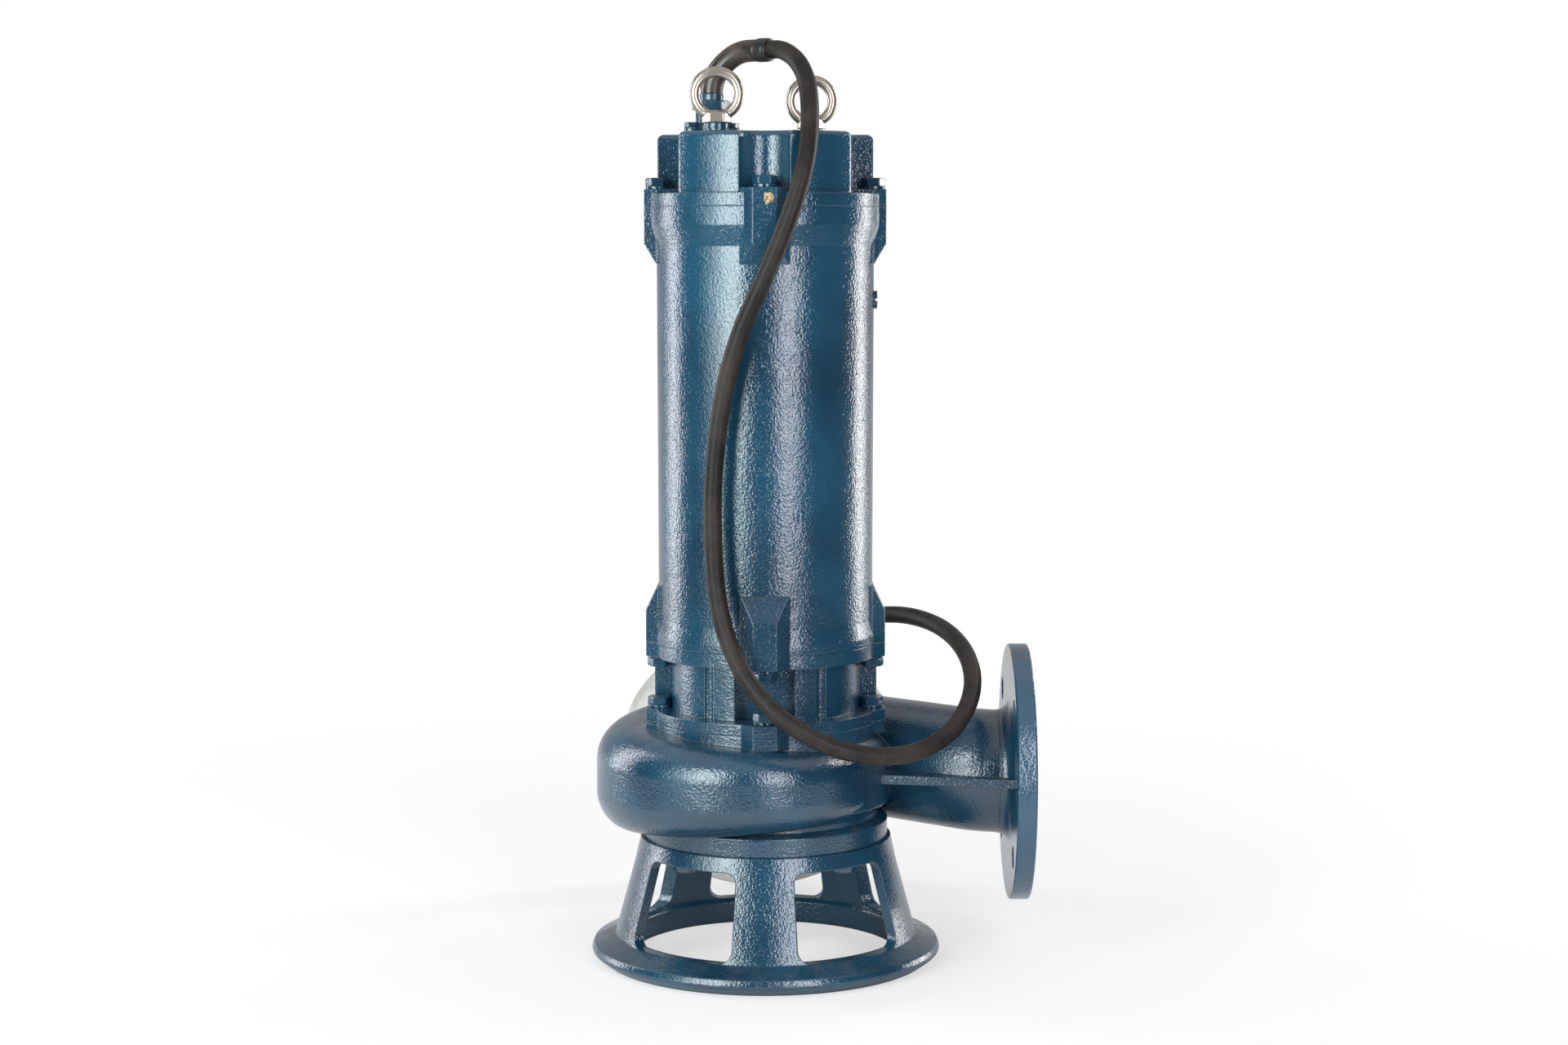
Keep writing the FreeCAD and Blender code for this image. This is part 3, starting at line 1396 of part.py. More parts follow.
def make_shaft():
    low_shoulder = d.low_bearing_bottom + d.low_bearing_width
    high_end = d.high_bearing_bottom + d.high_bearing_width
    stack_top = d.stack_bottom + d.stack_length
    seat = d.low_bearing_seat - d.fit_gap
    body = turned("shaft_body", [
        (0, d.shaft_end),
        (d.impeller_seat_radius, d.shaft_end),
        (d.impeller_seat_radius, PLATE_FLOOR),
        (d.seal_seat_radius, PLATE_FLOOR),
        (d.seal_seat_radius, d.low_bearing_bottom),
        (seat, d.low_bearing_bottom),
        (seat, low_shoulder),
        (d.shaft_collar, low_shoulder),
        (d.shaft_collar, d.stack_bottom),
        (d.rotor_seat_radius, d.stack_bottom),
        (d.rotor_seat_radius, stack_top + 10.0),
        (d.shaft_neck, stack_top + 14.0),
        (d.shaft_neck, d.high_bearing_bottom),
        (d.high_bearing_seat - d.fit_gap, d.high_bearing_bottom),
        (d.high_bearing_seat - d.fit_gap, high_end + 1.0),
        (0, high_end + 1.0),
    ])
    holes_up(body, "impeller_bolt_tap", [(0, 0, THREAD_HOLE)], d.shaft_end, 24.0)
    floor = d.impeller_seat_radius - d.key_depth
    low = d.shaft_end + d.key_depth * 2.0
    slot = box(
        "shaft_keyway", d.impeller_seat_radius, d.key_width + 0.1, low, low + d.key_length + 0.2,
        floor, -(d.key_width + 0.1) * 0.5,
    )
    keep(cut("shaft", body, slot), "shaft")
    key = box(
        "impeller_key", d.key_depth * 2.0 - 0.2, d.key_width, low + 0.1, low + 0.1 + d.key_length,
        floor, -d.key_width * 0.5,
    )
    keep(key, "impeller_key")


# Bearings

def make_bearing(prefix, bottom, width, shaft, race_inner, race_outer, radius, pitch, ball, count):
    top = bottom + width
    middle = bottom + width * 0.5
    groove = ball + d.running_gap
    inner = tube(f"{prefix}_inner_blank", race_inner, shaft, bottom, top)
    track = torus(f"{prefix}_inner_track", pitch, groove, middle)
    keep(cut(f"{prefix}_bearing_inner_ring", inner, track), f"{prefix}_bearing_inner_ring")
    outer = tube(f"{prefix}_outer_blank", radius, race_outer, bottom, top)
    track = torus(f"{prefix}_outer_track", pitch, groove, middle)
    keep(cut(f"{prefix}_bearing_outer_ring", outer, track), f"{prefix}_bearing_outer_ring")
    balls, windows = [], []
    for k, azimuth in enumerate(around(count), start=1):
        item = doc.addObject("Part::Sphere", f"{prefix}_ball_{k}")
        bind(item, Radius=ball)
        balls.append(move(item, *polar(pitch, azimuth), middle))
        window = doc.addObject("Part::Cylinder", f"{prefix}_cage_window_{k}")
        window.Placement = Placement(Vector(), Rotation(Vector(*polar(1.0, azimuth + 90.0), 0), 90))
        bind(window, Radius=ball + d.fit_gap, Height=pitch * 2.0)
        windows.append(move(window, 0, 0, middle))
    keep(group(f"{prefix}_bearing_balls", balls), f"{prefix}_bearing_balls")
    half = ball + d.cage_edge
    wall = d.cage_wall * 0.5
    ring = tube(f"{prefix}_cage", pitch + wall, pitch - wall, middle - half, middle + half)
    keep(cut(f"{prefix}_bearing_cage", ring, *windows), f"{prefix}_bearing_cage")


def make_bearings():
    make_bearing(
        "lower", d.low_bearing_bottom, d.low_bearing_width, d.low_bearing_seat,
        d.low_race_inner, d.low_race_outer, d.low_bearing_radius,
        d.low_ball_pitch, d.low_ball_radius, LOW_BALLS,
    )
    make_bearing(
        "upper", d.high_bearing_bottom, d.high_bearing_width, d.high_bearing_seat,
        d.high_race_inner, d.high_race_outer, d.high_bearing_radius,
        d.high_ball_pitch, d.high_ball_radius, HIGH_BALLS,
    )


def make_bearing_bracket():
    """The bracket in the top of the motor casing that carries the upper bearing."""
    seat = d.high_bearing_radius + d.fit_gap
    outer = d.bracket_radius - d.fit_gap
    bearing_top = d.high_bearing_bottom + d.high_bearing_width
    top = BRACKET_FLOOR + 10.0
    body = turned("upper_bearing_bracket", [
        (seat, d.high_bearing_bottom - 3.0),
        (seat + 8.0, d.high_bearing_bottom - 3.0),
        (seat + 8.0, BRACKET_FLOOR),
        (outer, BRACKET_FLOOR),
        (outer, MOTOR_TOP),
        (d.bracket_radius - 5.0, MOTOR_TOP),
        (d.bracket_radius - 5.0, top),
        (d.shaft_neck, top),
        (d.shaft_neck, bearing_top),
        (seat, bearing_top),
    ])
    keep(body, "upper_bearing_bracket")
    board = box("terminal_board", 44.0, 20.0, top, top + 9.0, -22.0, 22.0)
    studs = [
        cylinder(f"terminal_stud_{k}", 2.5, top + 9.0, top + 16.0, x, 32.0)
        for k, x in enumerate((-14.0, 0.0, 14.0), start=1)
    ]
    keep(fuse("terminal_block", board, *studs), "terminal_block")


# Shaft seals

def make_seals():
    shaft = d.seal_seat_radius + d.fit_gap
    outer = d.seal_radius - d.fit_gap
    low = PLATE_FLOOR + 1.0
    keep(tube("lower_seal_seat", outer, d.seal_bore, low, low + d.seal_seat), "lower_seal_seat")
    head_low = low + d.seal_seat + d.running_gap
    head_top = head_low + d.seal_head
    keep(tube("lower_seal_head", d.seal_head_radius, shaft, head_low, head_top), "lower_seal_head")
    roof = JOINT + d.oil_chamber_depth
    high = roof - 4.0
    keep(tube("upper_seal_seat", outer, d.seal_bore, high, high + d.seal_seat + 2.0), "upper_seal_seat")
    high_top = high - d.running_gap
    high_low = high_top - d.seal_head
    keep(tube("upper_seal_head", d.seal_head_radius, shaft, high_low, high_top), "upper_seal_head")
    half = d.spring_wire.value
    bottom, top = head_top.value + half, high_low.value - half
    helix = Part.makeHelix((top - bottom) / SPRING_TURNS, top - bottom, d.spring_radius.value)
    near, far = d.spring_radius.value - half, d.spring_radius.value + half
    corners = [Vector(near, 0, -half), Vector(far, 0, -half), Vector(far, 0, half), Vector(near, 0, half)]
    section = Part.makePolygon(corners + corners[:1])
    spring = Part.Wire(helix).makePipeShell([section], True, True)
    spring.translate(Vector(0, 0, bottom))
    keep(shaped("seal_spring", spring), "seal_spring")


# Impeller

def vane_plan(start):
    """One vane seen from above: a spiral strip from the hub to the rim."""
    inner = d.impeller_hub.value - 1.0
    outer = d.impeller_radius.value - 0.5
    growth = math.log(outer / inner)
    half = d.vane_thickness.value / 2

    def at(share, side):
        radius = inner * math.exp(growth * share)
        angle = math.radians(start + d.vane_wrap.value * share)
        slope = math.atan2(growth, math.radians(d.vane_wrap.value))
        normal = angle + slope + math.pi / 2 * side
        offset = half * (1.15 - 0.45 * share)
        x = radius * math.cos(angle) + offset * math.cos(normal)
        y = radius * math.sin(angle) + offset * math.sin(normal)
        return Vector(x, y, 0)

    shares = [k / 6 for k in range(7)]
    front, back = Part.BSplineCurve(), Part.BSplineCurve()
    front.interpolate([at(s, 1) for s in shares])
    back.interpolate([at(s, -1) for s in shares])
    return Part.Wire([
        front.toShape(),
        Part.LineSegment(at(1, 1), at(1, -1)).toShape(),
        back.toShape(),
        Part.LineSegment(at(0, -1), at(0, 1)).toShape(),
    ])


def make_impeller():
    bore = d.impeller_seat_radius + d.fit_gap
    shroud_low = d.impeller_top - d.shroud_thickness
    foot = d.shaft_end - 2.0
    body = turned("impeller_shroud", [
        (bore, foot),
        (d.impeller_hub - 2.0, foot),
        (d.impeller_hub, foot + 14.0),
        (d.impeller_hub + 8.0, shroud_low - 2.0),
        (d.impeller_radius, shroud_low),
        (d.impeller_radius, d.impeller_top),
        (d.impeller_hub + 4.0, d.impeller_top),
        (d.impeller_hub, PLATE_FLOOR - d.running_gap * 2.0),
        (bore, PLATE_FLOOR - d.running_gap * 2.0),
    ])
    bottom = (d.chamber_floor + d.vane_clearance).value
    vanes = []
    for k, start in enumerate(around(VANES), start=1):
        face = Part.Face(vane_plan(start))
        vane = face.extrude(Vector(0, 0, shroud_low.value + 2.0 - bottom))
        vane.translate(Vector(0, 0, bottom))
        vanes.append(shaped(f"impeller_vane_{k}", vane))
    slot = box(
        "impeller_keyway", d.key_depth * 2.0, d.key_width + 0.1, foot, d.impeller_top + 10.0,
        d.impeller_seat_radius - d.key_depth, -(d.key_width + 0.1) * 0.5,
    )
    bore_tool = cylinder("impeller_bore", bore, foot, d.impeller_top + 10.0)
    solid = fuse("impeller_solid", body, *vanes)
    keep(cut("impeller", solid, slot, bore_tool), "impeller")
    cap = tube("impeller_washer_ring", d.impeller_hub - 3.0, d.bolt_radius + 0.3, foot - 2.5, foot)
    keep(cap, "impeller_washer")
    seat = foot - 2.5
    screw = bolt(
        "impeller_bolt", 0, 0, seat, 22.0, d.bolt_radius, d.bolt_flats, d.bolt_head, upward=False
    )
    keep(screw, "impeller_bolt")


make_stand()
make_volute()
make_wear_ring()
make_oil_casing()
make_oil_plug()
make_seal_plate()
make_sealing_rings()
make_motor_casing()
make_casing_plug()
make_top_cover()
make_eyes()
make_gland()
make_cable()
make_coil()
make_fasteners()
make_stator()
make_rotor()
make_shaft()
make_bearings()
make_bearing_bracket()
make_seals()
make_impeller()
doc.recompute()

failed = [item.Name for item in doc.Objects if {"Invalid", "Error"} & set(item.State)]
failed += [n for n, item in nodes.items() if item.Shape.isNull() or not item.Shape.isValid()]
if failed:
    raise RuntimeError(f"these objects failed: {failed}")

os.makedirs("parts", exist_ok=True)
for name, item in nodes.items():
    item.Shape.exportStep(os.path.join("parts", f"{name}.step"))
    print(f"{name}: {len(item.Shape.Solids)} solids, {item.Shape.Volume:.0f} cubic mm")
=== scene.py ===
import json
import math

import bmesh
import bpy
from mathutils import Matrix, Vector, noise


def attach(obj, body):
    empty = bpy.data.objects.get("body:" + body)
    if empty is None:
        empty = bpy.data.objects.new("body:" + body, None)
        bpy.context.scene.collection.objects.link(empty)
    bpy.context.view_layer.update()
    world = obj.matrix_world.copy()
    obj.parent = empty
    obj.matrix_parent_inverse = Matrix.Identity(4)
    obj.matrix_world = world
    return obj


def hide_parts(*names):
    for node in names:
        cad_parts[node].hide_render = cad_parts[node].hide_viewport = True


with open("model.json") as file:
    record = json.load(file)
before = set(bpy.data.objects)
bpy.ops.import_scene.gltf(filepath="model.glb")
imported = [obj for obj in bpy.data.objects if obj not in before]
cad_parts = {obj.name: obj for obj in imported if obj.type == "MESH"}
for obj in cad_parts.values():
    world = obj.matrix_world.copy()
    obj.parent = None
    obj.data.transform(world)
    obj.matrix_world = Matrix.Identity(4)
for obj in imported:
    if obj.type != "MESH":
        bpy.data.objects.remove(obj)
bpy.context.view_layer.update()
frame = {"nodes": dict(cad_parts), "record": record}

# Submersible sewage pump. Metres, the pump axis is Z, the floor is z = 0, the front is -Y.
MM = 0.001


# Camera, at the place that the photograph was taken from

CAMERA_PLACE = (0.0144, -2.160, 0.554)
CAMERA_PITCH = 5.606
CAMERA_LENS = 64.0

camera = bpy.data.objects.new("camera", bpy.data.cameras.new("camera"))
camera.data.lens = CAMERA_LENS
camera.location = CAMERA_PLACE
camera.rotation_euler = (math.radians(90.0 - CAMERA_PITCH), 0.0, 0.0)
bpy.context.scene.collection.objects.link(camera)
bpy.context.scene.camera = camera
bpy.context.scene.view_settings.view_transform = "Standard"


def linked(name, data):
    """A new object at the origin that shows this mesh or curve."""
    item = bpy.data.objects.new(name, data)
    bpy.context.scene.collection.objects.link(item)
    return item


# Supply cable: out of the gland, over the cover, down the front and into the coil

CABLE_RADIUS = 6.9 * MM
NECK_TOP = Vector((-0.041, 0.0, 0.6722))
SLEEVE_BENDS = [
    (0.0, 0.0, 0.008), (0.0065, -0.002, 0.0205), (0.021, -0.009, 0.0318), (0.037, -0.021, 0.0318),
]
SLEEVE_LENGTH = 60.9 * MM
BAND_LENGTH = 11.0 * MM
CABLE_ROUTE = [
    (0.0128, -0.0336, 0.7040), (0.0240, -0.0450, 0.6960), (0.0315, -0.0615, 0.6805),
    (0.0340, -0.0805, 0.6575), (0.0325, -0.0965, 0.6280), (0.0255, -0.1060, 0.5970),
    (0.0135, -0.1075, 0.5640), (-0.0020, -0.1045, 0.5280), (-0.0200, -0.0985, 0.4890),
    (-0.0330, -0.0955, 0.4380), (-0.0390, -0.0950, 0.3800), (-0.0385, -0.0955, 0.3270),
    (-0.0345, -0.0985, 0.2860), (-0.0245, -0.1050, 0.2540), (-0.0080, -0.1145, 0.2270),
    (0.0160, -0.1235, 0.2045), (0.0470, -0.1255, 0.1870), (0.0810, -0.1175, 0.1780),
    (0.1140, -0.1040, 0.1785), (0.1395, -0.0860, 0.1900), (0.1545, -0.0615, 0.2060),
    (0.1610, -0.0310, 0.2210), (0.1595, 0.0040, 0.2350), (0.1505, 0.0410, 0.2465),
    (0.1340, 0.0780, 0.2540), (0.1090, 0.1120, 0.2560), (0.0800, 0.1380, 0.2500),
    (0.0460, 0.1500, 0.2470), (0.0120, 0.1600, 0.2400), (-0.0210, 0.1685, 0.2290),
    (-0.0530, 0.1763, 0.2162),
]

# The coil: three layers of four rows, eleven turns wound from outside in, leant on the volute
COIL_LEAN = math.radians(27.0)
COIL_CENTRE = Vector((-0.007, 0.2025, 0.1167))
COIL_MEAN = 96.8 * MM
COIL_SPACING = 13.85 * MM
COIL_LAYERS = 3
COIL_ROWS = 4
COIL_TURNS = 11
TURN_POINTS = 18
COIL_START = -25.0
# The share of a turn over which the cable moves on to the next row or layer
ROW_SHIFT = (0.66, 0.82)
LAYER_SHIFT = (0.84, 1.0)


def eased(share):
    """A share from 0 to 1 that starts and ends softly."""
    share = min(1.0, max(0.0, share))
    return share * share * (3.0 - 2.0 * share)


def coil_place(angle, radius, along):
    """A place in the coil: angle from its top towards +X, radius, and distance along its axis."""
    across = Vector((1.0, 0.0, 0.0))
    upward = Vector((0.0, -math.sin(COIL_LEAN), math.cos(COIL_LEAN)))
    axis = Vector((0.0, -math.cos(COIL_LEAN), -math.sin(COIL_LEAN)))
    return (
        COIL_CENTRE
        + across * (radius * math.sin(angle))
        + upward * (radius * math.cos(angle))
        + axis * along
    )


def coil_points():
    """Control points of the wound turns, from the outer layer inwards, each layer row by row."""
    # a curve of this order runs inside its control points by this much
    shrink = (6.0 + 2.0 * math.cos(2.0 * math.pi / TURN_POINTS)) / 8.0
    points = []
    for step in range(1, COIL_TURNS * TURN_POINTS + 1):
        turn, share = divmod(step / TURN_POINTS, 1.0)
        layer, row = divmod(int(turn), COIL_ROWS)
        last = row == COIL_ROWS - 1
        zone = LAYER_SHIFT if last else ROW_SHIFT
        shift = eased((share - zone[0]) / (zone[1] - zone[0]))
        row_place = row + (0.0 if last else shift)
        if layer % 2:
            row_place = COIL_ROWS - 1 - row_place
        layer_place = layer + (shift if last else 0.0)
        radius = COIL_MEAN + COIL_SPACING * ((COIL_LAYERS - 1) / 2.0 - layer_place)
        along = COIL_SPACING * (row_place - (COIL_ROWS - 1) / 2.0)
        angle = math.radians(COIL_START) - 2.0 * math.pi * (turn + share)
        points.append(coil_place(angle, radius / shrink, along))
    return points


def nurbs_line(name, points):
    """A smooth curve that these control points lead, with no thickness yet."""
    data = bpy.data.curves.new(name, "CURVE")
    data.dimensions = "3D"
    spline = data.splines.new("NURBS")
    spline.points.add(len(points) - 1)
    for point, place in zip(spline.points, points):
        point.co = (*place, 1.0)
    spline.order_u = 3
    spline.use_endpoint_u = True
    data.resolution_u = 8
    return data


def line_points(data):
    """The points that a curve with no bevel passes through."""
    ghost = bpy.data.objects.new("ghost", data)
    mesh = bpy.data.meshes.new_from_object(ghost)
    points = [vertex.co.copy() for vertex in mesh.vertices]
    bpy.data.objects.remove(ghost)
    bpy.data.meshes.remove(mesh)
    return points


def stretch(points, start, end):
    """The part of a line of points between two distances along it."""
    part, run = [], 0.0
    for a, b in zip(points, points[1:]):
        step = (b - a).length
        for distance in (start, end):
            if run < distance <= run + step:
                part.append(a.lerp(b, (distance - run) / step))
        if start < run + step < end:
            part.append(b)
        run += step
    return part


band_start = NECK_TOP + Vector(SLEEVE_BENDS[-1])
band_way = (Vector(SLEEVE_BENDS[-1]) - Vector(SLEEVE_BENDS[-2])).normalized()
cable_route = [NECK_TOP] + [NECK_TOP + Vector(bend) for bend in SLEEVE_BENDS]
cable_route += [band_start + band_way * BAND_LENGTH] + [Vector(p) for p in CABLE_ROUTE]
cable_route += coil_points()
cable_line = nurbs_line("supply_cable_line", cable_route)
cable_path = line_points(cable_line)
cable_line.bevel_depth = CABLE_RADIUS
cable_line.bevel_resolution = 7
cable_line.use_fill_caps = True
cable = linked("supply_cable_run", cable_line)


def tube_along(name, points, radii, sides):
    """A closed round tube through points, with a radius at each."""
    mesh = bmesh.new()
    rings = []
    side = Vector((0.0, 0.0, 1.0))
    for k, point in enumerate(points):
        ahead = points[min(k + 1, len(points) - 1)] - points[max(k - 1, 0)]
        ahead.normalize()
        side = (side - ahead * side.dot(ahead)).normalized()
        turn = Matrix((side, ahead.cross(side), ahead)).transposed().to_4x4()
        place = Matrix.Translation(point) @ turn
        made = bmesh.ops.create_circle(
            mesh, cap_ends=False, radius=radii[k], segments=sides, matrix=place
        )
        rings.append([e for e in mesh.edges if e.verts[0] in made["verts"]])
    for low, high in zip(rings, rings[1:]):
        bmesh.ops.bridge_loops(mesh, edges=low + high)
    bmesh.ops.holes_fill(mesh, edges=rings[0] + rings[-1], sides=sides)
    bmesh.ops.recalc_face_normals(mesh, faces=mesh.faces)
    return finished(name, mesh)


def finished(name, mesh, smooth=True):
    """A bmesh as an object at the origin."""
    data = bpy.data.meshes.new(name)
    for face in mesh.faces:
        face.smooth = smooth
    mesh.to_mesh(data)
    mesh.free()
    return linked(name, data)


def even_points(points, count):
    """The same line in evenly spaced points."""
    total = sum((b - a).length for a, b in zip(points, points[1:]))
    made = [points[0].copy()]
    for k in range(1, count - 1):
        made += stretch(points, total * k / (count - 1), total * 2.0)[:1]
    return made + [points[-1].copy()]


TUBE_SIDES = 40
SKIN_INSET = 0.05 * MM
SLEEVE_RADIUS = 8.5 * MM
SLEEVE_RINGS = 72
SLEEVE_TAPER = 0.45 * MM
TAPER_START, TAPER_SHARE = 0.965, 0.02
BAND_RADIUS = 9.1 * MM
BAND_RINGS = 30
BAND_OVERLAP = 1.2 * MM
BAND_SHORT = 1.0 * MM
BAND_EDGE, BAND_EDGE_SHARE = 0.9 * MM, 0.05
TAPE_STEP = 0.35 * MM
STEP_START, STEP_SHARE = 0.70, 0.04


def make_sleeve():
    """The smooth sleeve shrunk on the cable, a little narrower at its end."""
    points = even_points([NECK_TOP] + stretch(cable_path, 0.0, SLEEVE_LENGTH), SLEEVE_RINGS)
    radii = []
    for k in range(len(points)):
        share = k / (len(points) - 1)
        taper = SLEEVE_TAPER * eased((share - TAPER_START) / TAPER_SHARE)
        radii.append(SLEEVE_RADIUS - SKIN_INSET - taper)
    return tube_along("cable_sleeve_skin", points, radii, TUBE_SIDES)


def make_band():
    """The tape wound over the sleeve's end, with one step down towards the cable."""
    line = [NECK_TOP] + cable_path[1:]
    start = SLEEVE_LENGTH - BAND_OVERLAP
    end = SLEEVE_LENGTH + BAND_LENGTH - BAND_SHORT
    points = even_points(stretch(line, start, end), BAND_RINGS)
    radii = []
    for k in range(len(points)):
        share = k / (len(points) - 1)
        edge = BAND_EDGE * (1.0 - eased(min(share, 1.0 - share) / BAND_EDGE_SHARE))
        step = TAPE_STEP * eased((share - STEP_START) / STEP_SHARE)
        radii.append(BAND_RADIUS - SKIN_INSET - step - edge)
    return tube_along("cable_band_tape", points, radii, TUBE_SIDES)


sleeve = make_sleeve()
band = make_band()


# Film wound round the coil

FILM_HALF_RADIAL = 21.6 * MM
FILM_HALF_AXIAL = 28.1 * MM
FILM_WRAPS = 34
FILM_STEPS = 300
FILM_SIDES = 64
FILM_SQUARE = 7.0
FOLD_DEPTH = 0.15 * MM
CREASE_DEPTH = 0.22 * MM
FINE_DEPTH = 0.1 * MM
FILM_SWELL = 0.1 * MM
MERGE = 0.01 * MM


def make_film():
    """A skin round the turns: a rounded section spun about the coil's axis, then creased."""
    mesh = bmesh.new()
    bmesh.ops.create_circle(mesh, cap_ends=False, radius=1.0, segments=FILM_SIDES)
    for vertex in mesh.verts:
        x, y = vertex.co.x, vertex.co.y
        swell = (abs(x) ** FILM_SQUARE + abs(y) ** FILM_SQUARE) ** (-1.0 / FILM_SQUARE)
        radial = FILM_HALF_RADIAL * x * swell
        along = FILM_HALF_AXIAL * y * swell
        vertex.co = (COIL_MEAN + radial, 0.0, along)
    bmesh.ops.spin(
        mesh, geom=mesh.verts[:] + mesh.edges[:], cent=(0.0, 0.0, 0.0), axis=(0.0, 0.0, 1.0),
        angle=2.0 * math.pi, steps=FILM_STEPS, use_merge=True,
    )
    bmesh.ops.remove_doubles(mesh, verts=mesh.verts, dist=MERGE)
    bmesh.ops.recalc_face_normals(mesh, faces=mesh.faces)
    wrap_layer = mesh.verts.layers.float.new("wrap")
    mesh.normal_update()
    moves = []
    for vertex in mesh.verts:
        angle = math.atan2(vertex.co.y, vertex.co.x)
        out = math.hypot(vertex.co.x, vertex.co.y) - COIL_MEAN
        around = math.atan2(vertex.co.z / FILM_HALF_AXIAL, out / FILM_HALF_RADIAL)
        wrap = (angle * FILM_WRAPS + around) / (2.0 * math.pi)
        fold = wrap % 1.0
        crease = noise.noise(Vector((angle * 26.0, around * 1.3, 2.0)))
        fine = noise.noise(Vector((angle * 60.0, around * 5.0, 7.0)))
        dent = -FOLD_DEPTH * fold + CREASE_DEPTH * crease + FINE_DEPTH * fine + FILM_SWELL
        moves.append(vertex.normal * dent)
        vertex[wrap_layer] = fold
    for vertex, step in zip(mesh.verts, moves):
        vertex.co += step
    lean = Matrix.Rotation(math.radians(90.0) + COIL_LEAN, 4, "X")
    bmesh.ops.transform(mesh, matrix=Matrix.Translation(COIL_CENTRE) @ lean, verts=mesh.verts)
    return finished("coil_film", mesh)


film = make_film()


# Materials

class Value:
    """A number that varies over a surface; arithmetic on it adds nodes."""

    def __init__(self, finish, socket):
        self.finish = finish
        self.socket = socket

    def maths(self, operation, *others):
        return self.finish.node(
            "ShaderNodeMath", {"operation": operation}, [self, *others]
        )

    def __add__(self, other):
        return self.maths("ADD", other)

    def __mul__(self, other):
        return self.maths("MULTIPLY", other)

    def __rsub__(self, other):
        return self * -1.0 + other

    def between(self, low, high):
        """0 below low, 1 above high and smooth between them."""
        return self.finish.node(
            "ShaderNodeMapRange", {"interpolation_type": "SMOOTHSTEP"},
            {"Value": self, "From Min": low, "From Max": high},
        )


class Finish:
    """The nodes of a material, or of the world when one is given."""

    def __init__(self, name, block=None):
        self.material = block or bpy.data.materials.new(name)
        self.material.use_nodes = True
        self.tree = self.material.node_tree
        self.tree.nodes.clear()

    def node(self, kind, settings=None, sockets=None, output=None):
        """A node with its settings, then the values or links of its sockets."""
        item = self.tree.nodes.new(kind)
        for name, value in (settings or {}).items():
            setattr(item, name, value)
        if isinstance(sockets, list):
            pairs = list(zip(item.inputs, sockets))
        else:
            usable = [s for s in item.inputs if s.enabled]
            found = {s.name: s for s in reversed(usable)}
            pairs = [(found[name], value) for name, value in (sockets or {}).items()]
        for socket, value in pairs:
            if isinstance(value, Value):
                self.tree.links.new(value.socket, socket)
            else:
                socket.default_value = value
        if output:
            return Value(self, item.outputs[output])
        outputs = [s for s in item.outputs if s.enabled]
        return Value(self, outputs[0]) if outputs else None

    def place(self):
        """The place on the object, in metres."""
        return self.node("ShaderNodeTexCoord", output="Object")

    def noise(self, scale, detail=2.0, rough=0.5, place=None):
        return self.node("ShaderNodeTexNoise", None, {
            "Vector": place or self.place(), "Scale": scale, "Detail": detail,
            "Roughness": rough,
        })

    def blend(self, factor, first, second):
        """Mix two colours."""
        return self.node("ShaderNodeMix", {"data_type": "RGBA"}, {
            "Factor": factor, "A": first, "B": second,
        })

    def bump(self, height, distance, strength=1.0, normal=None):
        sockets = {"Height": height, "Distance": distance, "Strength": strength}
        if normal:
            sockets["Normal"] = normal
        return self.node("ShaderNodeBump", None, sockets)

    def done(self, **sockets):
        """The finished material from the sockets of its surface."""
        named = {name.replace("_", " "): value for name, value in sockets.items()}
        shader = self.node("ShaderNodeBsdfPrincipled", None, named)
        self.node("ShaderNodeOutputMaterial", None, {"Surface": shader})
        return self.material


def colour(red, green, blue):
    """A colour given in sRGB steps of 255."""
    def straight(part):
        part /= 255.0
        return part / 12.92 if part <= 0.04045 else ((part + 0.055) / 1.055) ** 2.4
    return (straight(red), straight(green), straight(blue), 1.0)


DEEP_BLUE = colour(21, 52, 72)
MID_BLUE = colour(27, 71, 93)
CAST_DUST = colour(104, 98, 88)
CHIP_RUST = (0.20, 0.10, 0.035, 1.0)
CHIP_PRIMER = (0.5, 0.36, 0.2, 1.0)
CHIP_PLACE = (0.003, -0.0931, 0.5915)
CHIP_EDGE = (8.8 * MM, 9.8 * MM)
CHIP_RAGGED = 10.0 * MM
EDGE_ROUND = 1.6 * MM
SKIN_DEPTH = 0.33 * MM
ENAMEL_GLOSS = 0.08


